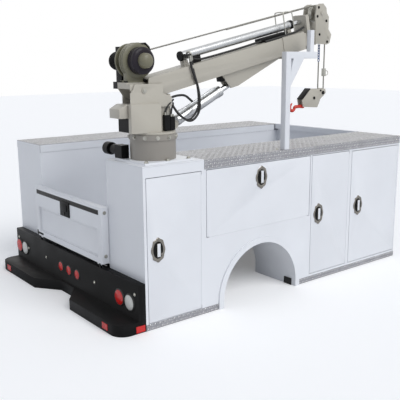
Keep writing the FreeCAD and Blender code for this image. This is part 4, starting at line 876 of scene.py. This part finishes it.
class SERVICE_OT_winch(bpy.types.Operator):
    """Turn the winch's case, wheel and cap, and lay its rope"""

    bl_idname = "service.winch"
    bl_label = "Winch"

    def execute(self, context):
        axle = near_pivot(0, 2, 190)
        right = Vector((1, 0, 0))
        bm = bmesh.new()
        for profile in (
                [(-.090, 0), (-.090, .109), (-.086, .112), (-.079, .112), (-.075, .108), (-.075, .0425), (-.030, .0425),
                 (-.030, .110), (-.027, .116), (-.019, .116), (-.016, .111), (-.006, .111), (-.003, .1155),
                 (.005, .1155), (.008, .111), (.012, .111), (.015, .116), (.022, .116), (.026, .108), (.028, .09),
                 (.028, 0)],
                [(.094, 0), (.094, .050), (.100, .0505), (.128, .0475), (.140, .040), (.147, .026), (.150, .010),
                 (.150, 0)]):
            add_lathe(bm, axle, right, profile, 72)
        base = near_pivot(0, 0, 52)
        add_box(bm, base + Vector((-.028, -.082, 0)), base + Vector((.022, .042, .080)), 0.003)
        add_box(bm, base + Vector((-.075, -.082, 0)), base + Vector((.028, .042, .012)), 0.003)
        winch = finished("winch_case", bm, "boom", FINISHES["winch"])
        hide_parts("winch")
        bm = bmesh.new()
        add_lathe(bm, axle, right, [(.027, 0), (.027, .080), (.031, .086), (.036, .088), (.042, .0865), (.048, .088),
                                    (.056, .0865), (.062, .088), (.084, .087), (.092, .080), (.096, .066),
                                    (.098, .050), (.098, 0)], 72)
        finished("winch_wheel", bm, "boom", FINISHES["wheel"])
        bm = bmesh.new()
        for x in (-.176, -.192, -.208, -.224, -.240):
            add_lathe(bm, axle, right, [(x, .058), (x, .0625), (x + .006, .0625), (x + .006, .058), (x, .058)], 40)
        add_lathe(bm, axle, right, [(-.258, 0), (-.258, .030), (-.254, .034), (-.252, .034), (-.252, 0)], 32)
        add_prism(bm, [near_pivot(-34, 20, 298), near_pivot(-34, 62, 307), near_pivot(-34, 92, 282),
                       near_pivot(-34, 112, 228), near_pivot(-34, 104, 226), near_pivot(-34, 84, 274),
                       near_pivot(-34, 58, 297), near_pivot(-34, 24, 290)], (0.060, 0, 0), 0.0015)
        add_box(bm, near_pivot(22, 36, 56), near_pivot(40, 48, 74), 0.003)
        finished("winch_trim", bm, "boom", FINISHES["motor"])
        self.rope(axle)
        return {"FINISHED"}

    def rope(self, axle):
        """Coils on the drum and the strand that leaves it over the boom."""
        bm = bmesh.new()
        turns = []
        for i in range(5):
            turns.append([(-.071 + .0095 * i - .0048, .042), (-.071 + .0095 * i - .0034, .0485),
                          (-.071 + .0095 * i, .052), (-.071 + .0095 * i + .0034, .0485),
                          (-.071 + .0095 * i + .0048, .042)])
        profile = [point for turn in turns for point in turn]
        add_lathe(bm, axle, (1, 0, 0), [(profile[0][0], .0)] + profile + [(profile[-1][0], .0)], 56)
        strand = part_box("winch_rope")
        start = on_boom(-36, 30, 227)
        end = on_boom(-36, 1783, 227)
        add_tube(bm, [start, end], 0.005, smooth=False)
        rope = finished("winch_rope_laid", bm, "boom", FINISHES["rope"])
        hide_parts("winch_rope")


class SERVICE_OT_cylinders(bpy.types.Operator):
    """Glands, ports and pipes of the cylinders"""

    bl_idname = "service.cylinders"
    bl_label = "Cylinder Fittings"

    def execute(self, context):
        start = on_boom(0, 395, 135)
        bm = bmesh.new()
        add_lathe(bm, start, ALONG, [(-.004, .012), (-.004, .031), (0, .0335), (.012, .0335), (.014, .031),
                                     (.014, .0302)], 40)
        add_lathe(bm, start, ALONG, [(1.083, .0302), (1.083, .0345), (1.108, .0345), (1.110, .032), (1.110, .0185)],
                  40)
        add_box(bm, (-.024, .484, .0665), (.024, .556, .112), 0.003, 2, BOOM_TURN)
        add_box(bm, (-.030, 1.130, .0665), (.030, 1.42, .098), 0.004, 2, BOOM_TURN)
        finished("extension_cylinder_trim", bm, "boom", FINISHES["motor"])
        bm = bmesh.new()
        add_tube(bm, [on_boom(26, 470, 104), on_boom(26, 520, 84), on_boom(26, 600, 78), on_boom(26, 1000, 76),
                      on_boom(26, 1140, 82)], 0.0075)
        add_tube(bm, [on_boom(60, 1150, 74), on_boom(60, 1330, 74), on_boom(58, 1500, 78), on_boom(50, 1590, 96)],
                 0.0085)
        finished("boom_top_hose", bm, "boom", FINISHES["rubber"])
        bm = bmesh.new()
        for along, aside in ((413, 90), (445, 62)):
            top = on_boom(aside, along, 128)
            add_lathe(bm, top, -RISE, [(-.008, 0), (-.008, .0115), (.004, .0115), (.006, .0095), (.030, .0095),
                                       (.032, .0085), (.032, 0)], 12)
        add_tube(bm, [on_boom(24, 445, 150), on_boom(45, 445, 158), on_boom(62, 445, 146), on_boom(62, 445, 122)],
                 0.0075)
        add_lathe(bm, on_boom(0, 413, 135), (1, 0, 0), [(.029, 0), (.029, .014), (.040, .014), (.040, 0)], 6)
        finished("cylinder_ports", bm, "boom", FINISHES["zinc"])
        bm = bmesh.new()
        add_tube(bm, [on_boom(62, 445, 100), on_boom(66, 440, 40), on_boom(84, 430, -10), on_boom(86, 436, -60),
                      on_boom(86, 428, -170), on_boom(86, 396, -246), on_boom(84, 318, -292), on_boom(84, 262, -262),
                      on_boom(84, 228, -206)], 0.0075)
        finished("boom_side_hose", bm, "boom", FINISHES["rubber"])
        self.lift()
        return {"FINISHED"}

    def lift(self):
        """The lift cylinder's gland, feed pipe and port."""
        base = Vector(JOINTS["lift_tilt"]["pos_m"])
        run = Vector(JOINTS["lift_stroke"]["axis"])
        up = Vector((0, -run.z, run.y))
        bm = bmesh.new()
        add_lathe(bm, base, run, [(.444, .0362), (.446, .039), (.482, .039), (.4845, .036), (.4845, .0206)], 40)
        add_lathe(bm, base, run, [(.040, 0), (.0405, .036), (.045, .0385), (.062, .0385), (.064, .0362)], 40)
        finished("lift_cylinder_glands", bm, "lift_barrel", FINISHES["barrel"])
        bm = bmesh.new()
        add_tube(bm, [base + run * .075 + up * .060, base + run * .10 + up * .047, base + run * .20 + up * .044,
                      base + run * .36 + up * .044, base + run * .43 + up * .048, base + run * .462 + up * .038],
                 0.0055)
        finished("lift_cylinder_pipe", bm, "lift_barrel", FINISHES["barrel"])
        bm = bmesh.new()
        tip = on_boom(0, 805, -155)
        for aside in (-27.5, 22.5):
            add_lathe(bm, tip + Vector((aside * MM, 0, 0)), (1, 0, 0), [
                (0, .0), (0, .026), (.005, .026), (.005, 0)], 32)
        add_box(bm, (-.0275, .700, -.118), (.0275, .762, -.0665), 0.003, 2, BOOM_TURN)
        finished("lift_eye_bracket", bm, "boom", FINISHES["motor"])


class SERVICE_OT_head(bpy.types.Operator):
    """Fit the boom's end sleeve, the rope guide, the chain and the hook"""

    bl_idname = "service.head"
    bl_label = "Boom Head and Hook"

    def execute(self, context):
        bm = bmesh.new()
        for lowest, highest in (((-.0795, 1.318, -.0685), (-.0752, 1.556, .0705)),
                                ((.0752, 1.318, -.0685), (.0795, 1.556, .0705)),
                                ((-.0795, 1.318, .0667), (.0795, 1.556, .0705))):
            add_box(bm, lowest, highest, 0.0012, 2, BOOM_TURN)
        add_box(bm, (-.058, 1.30, -.088), (.058, 1.46, -.0667), 0.003, 2, BOOM_TURN)
        finished("boom_end_sleeve", bm, "boom", FINISHES["crane"])
        bm = bmesh.new()
        add_tube(bm, [on_boom(58, 1375, 62), on_boom(58, 1375, 226), on_boom(56, 1385, 244), on_boom(20, 1400, 246),
                      on_boom(-46, 1400, 246), on_boom(-58, 1400, 232), on_boom(-58, 1400, 62)], 0.0042)
        add_tube(bm, [on_boom(58, 1375, 150), on_boom(58, 1372, 236), on_boom(58, 1386, 250), on_boom(58, 1462, 236),
                      on_boom(58, 1474, 222), on_boom(58, 1474, 62)], 0.0042)
        finished("rope_guide_wire", bm, "boom", FINISHES["zinc"])
        self.chain()
        self.hook()
        return {"FINISHED"}

    def chain(self):
        """Round-bar links, each turned square to the last."""
        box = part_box("load_chain")
        middle = (box[0] + box[1]) / 2
        count = 7
        pitch = (box[1].z - box[0].z - 0.033) / (count - 1)
        points = [Vector((middle.x, middle.y, box[0].z + 0.0165 + pitch * i)) for i in range(count)]
        turns = [Vector((0, 0, math.pi / 2 * (i % 2))) for i in range(count)]
        source = helper("chain_source", points, turns)
        mesh = run_tree(chain_tree(), source, {
            "Length": 0.033, "Width": 0.022, "Bar": 0.0058, "Material": FINISHES["chain"]})
        bpy.data.objects.remove(source)
        mesh.polygons.foreach_set("use_smooth", [True] * len(mesh.polygons))
        chain = new_piece("stop_chain", mesh, "rope_falls", FINISHES["chain"])
        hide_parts("load_chain")

    def hook(self):
        """A forged hook with its latch, and the block's trim."""
        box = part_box("load_hook")
        bowl = Vector(((box[0].x + box[1].x) / 2, box[0].y + 0.037, box[0].z + 0.037))
        bm = bmesh.new()
        shape = [(118, 4, 13), (70, 4, 13), (44, 4, 14), (26, 2, 12), (22, -16, 12), (8, -27, 12.5), (-10, -27, 12.5),
                 (-25, -14, 12), (-27, 4, 11), (-20, 18, 9), (-10, 27, 6.5), (-4, 33, 4)]
        add_hook(bm, [bowl + Vector((0, y, z)) * MM for y, z, radius in shape], [r * MM for y, z, r in shape])
        add_lathe(bm, bowl + Vector((-.0195, .106, .004)), (1, 0, 0), [(0, 0), (0, .015), (.039, .015), (.039, 0)], 32)
        hook = finished("forged_hook", bm, "hook_block", FINISHES["hook"], 60)
        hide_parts("load_hook")
        bm = bmesh.new()
        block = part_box("hook_block")
        spot = Vector(JOINTS["block_swing"]["pos_m"])
        add_prism(bm, [spot + Vector((-.0292, y * MM, z * MM)) for y, z in (
            (-157, 40), (-150, 34), (-240, -48), (-252, -46))], (0.0584, 0, 0), 0.001)
        for y, z, radius in ((0, 0, .015), (-106, -40, .013), (-30, 18, .008)):
            add_lathe(bm, spot + Vector((-.0335, y * MM, z * MM)), (1, 0, 0), [
                (0, 0), (0, radius), (.067, radius), (.067, 0)], 6 if radius < .014 else 24)
        finished("hook_block_trim", bm, "hook_block", FINISHES["motor"])
        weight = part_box("rope_weight")
        middle = (weight[0] + weight[1]) / 2
        bm = bmesh.new()
        add_tube(bm, [middle + Vector((0, .017, .012)), middle + Vector((0, .040, .014)),
                      middle + Vector((0, .052, .004)), middle + Vector((0, .052, -.016)),
                      middle + Vector((0, .040, -.024)), middle + Vector((0, .017, -.022))], 0.0028)
        finished("rope_weight_bail", bm, "rope_falls", FINISHES["zinc"])


class SERVICE_OT_fasteners(bpy.types.Operator):
    """Set the bolts"""

    bl_idname = "service.fasteners"
    bl_label = "Fasteners"

    def execute(self, context):
        tree = bolt_tree()
        up = Vector((0, 0, 1))
        flange = high("crane_pedestal").z
        deck = high("crane_deck").z
        cover = high("top_covers").z
        # Groups: name, body, slot, finish, bolt size, places with the way each faces
        ring = [(Vector((SWING.x + .160 * math.cos(a), SWING.y + .160 * math.sin(a), flange - .018)),
                 Vector((math.cos(a), math.sin(a), 0))) for a in (math.tau * i / 12 + .13 for i in range(12))]
        ring = [(spot + out * 0.004, out) for spot, out in ring]
        base = [(Vector((SWING.x + x, SWING.y + y, deck)), up)
                for x in (-.172, .172) for y in (-.172, 0, .172)]
        foot = [(Vector((high("boom_rest").x - .025 + x, body_spot(0, 1310, 0).y + y, cover)), up)
                for x, y in ((-.042, -.042), (-.042, .042))]
        gate = [(Vector((sign * high("tailgate").x, body_spot(0, y, 0).y, z)), Vector((sign, 0, 0)))
                for sign in (1, -1) for y, z in ((-32, .742), (-32, .425))]
        bumper = [(body_spot(x, -57, 201), Vector((0, -1, 0))) for x in (-748, -402, 402)]
        bumper += [(body_spot(x, -57, 262), Vector((0, -1, 0))) for x in (-945, 945)]
        column = [(SWING + Vector((.072, y * MM, z * MM)), Vector((1, 0, 0)))
                  for y, z in ((88, 190), (88, 60))]
        root = [(near_pivot(-60 + 78 * i, y, 52), up) for i in (0, 1) for y in (-88,)]
        pins = [(on_boom(side * 92, 0, 0), Vector((side, 0, 0))) for side in (1, -1)]
        head = [(on_boom(68, along, rise), Vector((1, 0, 0)))
                for along, rise in ((1740, 8), (1819, -66), (1768, 214), (1838, 96), (1741, 150))]
        for name, body, slot, finish, radius, height, rows in (
                ("flange_bolts", "service_body", "machined_steel", "zinc", .0105, .009, ring),
                ("base_bolts", "service_body", "machined_steel", "zinc", .013, .012, base),
                ("rest_bolts", "service_body", "machined_steel", "zinc", .009, .008, foot),
                ("tailgate_bolts", "tailgate", "machined_steel", "zinc", .010, .007, gate),
                ("bumper_bolts", "service_body", "machined_steel", "zinc", .009, .006, bumper),
                ("column_bolts", "turret", "machined_steel", "zinc", .008, .006, column),
                ("foot_bolts", "boom", "motor_black", "motor", .009, .009, root),
                ("pivot_caps", "boom", "machined_steel", "zinc", .012, .006, pins),
                ("head_bolts", "boom_extension", "motor_black", "motor", .008, .006, head)):
            source = helper(name + "_source", [spot for spot, out in rows], [out for spot, out in rows])
            mesh = run_tree(tree, source, {"Sides": 6, "Radius": radius, "Height": height, "Washer": radius * 1.35,
                                           "Material": FINISHES[finish]})
            bpy.data.objects.remove(source)
            new_piece(name, mesh, body, FINISHES[finish])
        return {"FINISHED"}


class SERVICE_OT_controls(bpy.types.Operator):
    """Valve levers and fittings on the turret"""

    bl_idname = "service.controls"
    bl_label = "Valve Bank"

    def execute(self, context):
        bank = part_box("valve_bank")
        bm = bmesh.new()
        for i in range(4):
            x = SWING.x - .05 + .033 * i
            add_tube(bm, [(x, bank[0].y + .03, bank[0].z + .084), (x, bank[0].y + .026, bank[0].z + .090)], 0.008)
        for y, z, radius in ((46, 1428, .009), (64, 1428, .009), (94, 1414, .008), (110, 1414, .008)):
            add_lathe(bm, (SWING.x + .086, SWING.y + y * MM, z * MM), (0, 0, 1), [
                (-.008, 0), (-.008, radius), (.004, radius), (.006, radius * .7), (.014, radius * .7), (.014, 0)], 12)
        finished("valve_fittings", bm, "turret", FINISHES["zinc"])
        bm = bmesh.new()
        add_tube(bm, [SWING + Vector((.086, .094, .128)), SWING + Vector((.088, .096, .165)),
                      SWING + Vector((.080, .118, .190)), SWING + Vector((.060, .130, .200))], 0.0065)
        add_tube(bm, [SWING + Vector((.086, .046, .142)), SWING + Vector((.090, .060, .185)),
                      SWING + Vector((.080, .110, .215)), SWING + Vector((.050, .140, .222))], 0.0065)
        finished("valve_hoses", bm, "turret", FINISHES["rubber"])
        return {"FINISHED"}


class SERVICE_OT_stage(bpy.types.Operator):
    """Floor, light and camera"""

    bl_idname = "service.stage"
    bl_label = "Stage"

    def execute(self, context):
        scene = context.scene
        stage = scene.service_stage
        scene.view_settings.view_transform = "Standard"

        bpy.ops.mesh.primitive_plane_add(size=60, location=(0, 0, 0))
        floor = context.active_object
        floor.name = "studio_floor"
        floor.data.transform(Matrix.Translation((0, 0, low("bumper").z - 0.001)))
        made, tree, shader, place = blank_material("white_studio_floor")
        shader.inputs["Base Color"].default_value = colour("F4F4F4")
        shader.inputs["Roughness"].default_value = 0.9
        rays = add_node(tree, "ShaderNodeLightPath")
        lift = add_node(tree, "ShaderNodeMath", {0: rays.outputs["Is Camera Ray"], 1: 0.18}, operation="MULTIPLY")
        shader.inputs["Emission Color"].default_value = colour("FFFFFF")
        tree.links.new(lift.outputs[0], shader.inputs["Emission Strength"])
        floor.data.materials.append(made)

        world = bpy.data.worlds.new("studio")
        scene.world = world
        world.use_nodes = True
        tree = world.node_tree
        tree.nodes.clear()
        rays = add_node(tree, "ShaderNodeLightPath")
        seen = add_node(tree, "ShaderNodeMath", {0: rays.outputs["Is Camera Ray"], 1: rays.outputs["Is Glossy Ray"]},
                        operation="MAXIMUM")
        strength = add_node(tree, "ShaderNodeMapRange", {
            "Value": seen.outputs[0], "To Min": 0.5, "To Max": 1.0})
        air = add_node(tree, "ShaderNodeMixRGB", {
            "Fac": seen.outputs[0], "Color1": colour("EEF4FF"), "Color2": colour("FFFFFF")})
        sky = add_node(tree, "ShaderNodeBackground", {
            "Color": air.outputs["Color"], "Strength": strength.outputs["Result"]})
        add_node(tree, "ShaderNodeOutputWorld", {"Surface": sky.outputs["Background"]})

        for name, strength, tilt, heading, spread in (("key", 1.58, 48, 100, 40), ("fill", 0.08, 60, -20, 60)):
            light = bpy.data.lights.new(name, "SUN")
            light.energy = strength
            light.angle = math.radians(spread)
            lamp = bpy.data.objects.new(name, light)
            lamp.rotation_euler = (math.radians(tilt), 0, math.radians(heading))
            scene.collection.objects.link(lamp)

        camera = bpy.data.cameras.new("camera")
        camera.lens = stage.focal
        camera.sensor_width = 36
        eye = bpy.data.objects.new("camera", camera)
        eye.matrix_world = (Matrix.Translation(stage.stand) @ Matrix.Rotation(stage.heading, 4, "Z")
                            @ Matrix.Rotation(math.pi / 2 - stage.dip, 4, "X") @ Matrix.Rotation(stage.roll, 4, "Z"))
        scene.collection.objects.link(eye)
        scene.camera = eye
        return {"FINISHED"}


class SERVICE_PT_panel(bpy.types.Panel):
    """The service body's pieces"""

    bl_idname = "SERVICE_PT_panel"
    bl_label = "Service Body"
    bl_space_type = "VIEW_3D"
    bl_region_type = "UI"
    bl_category = "Service Body"

    def draw(self, context):
        for group in (context.scene.service_paint, context.scene.service_tread, context.scene.service_stage):
            column = self.layout.column()
            for name in group.__annotations__:
                column.prop(group, name)
        for operator in OPERATORS:
            self.layout.operator(operator.bl_idname)


GROUPS = {"service_paint": PaintColours, "service_tread": TreadSizes, "service_stage": StageSizes}
OPERATORS = [
    SERVICE_OT_finishes, SERVICE_OT_edges, SERVICE_OT_tread, SERVICE_OT_latches, SERVICE_OT_rear, SERVICE_OT_winch,
    SERVICE_OT_cylinders, SERVICE_OT_head, SERVICE_OT_fasteners, SERVICE_OT_controls, SERVICE_OT_stage]


def register():
    for name, group in GROUPS.items():
        bpy.utils.register_class(group)
        setattr(bpy.types.Scene, name, bpy.props.PointerProperty(type=group))
    for operator in OPERATORS:
        bpy.utils.register_class(operator)
    bpy.utils.register_class(SERVICE_PT_panel)


def unregister():
    bpy.utils.unregister_class(SERVICE_PT_panel)
    for operator in reversed(OPERATORS):
        bpy.utils.unregister_class(operator)
    for name, group in GROUPS.items():
        delattr(bpy.types.Scene, name)
        bpy.utils.unregister_class(group)


def main():
    register()
    for operator in OPERATORS:
        area, name = operator.bl_idname.split(".")
        getattr(getattr(bpy.ops, area), name)()


if __name__ == "__main__":
    main()
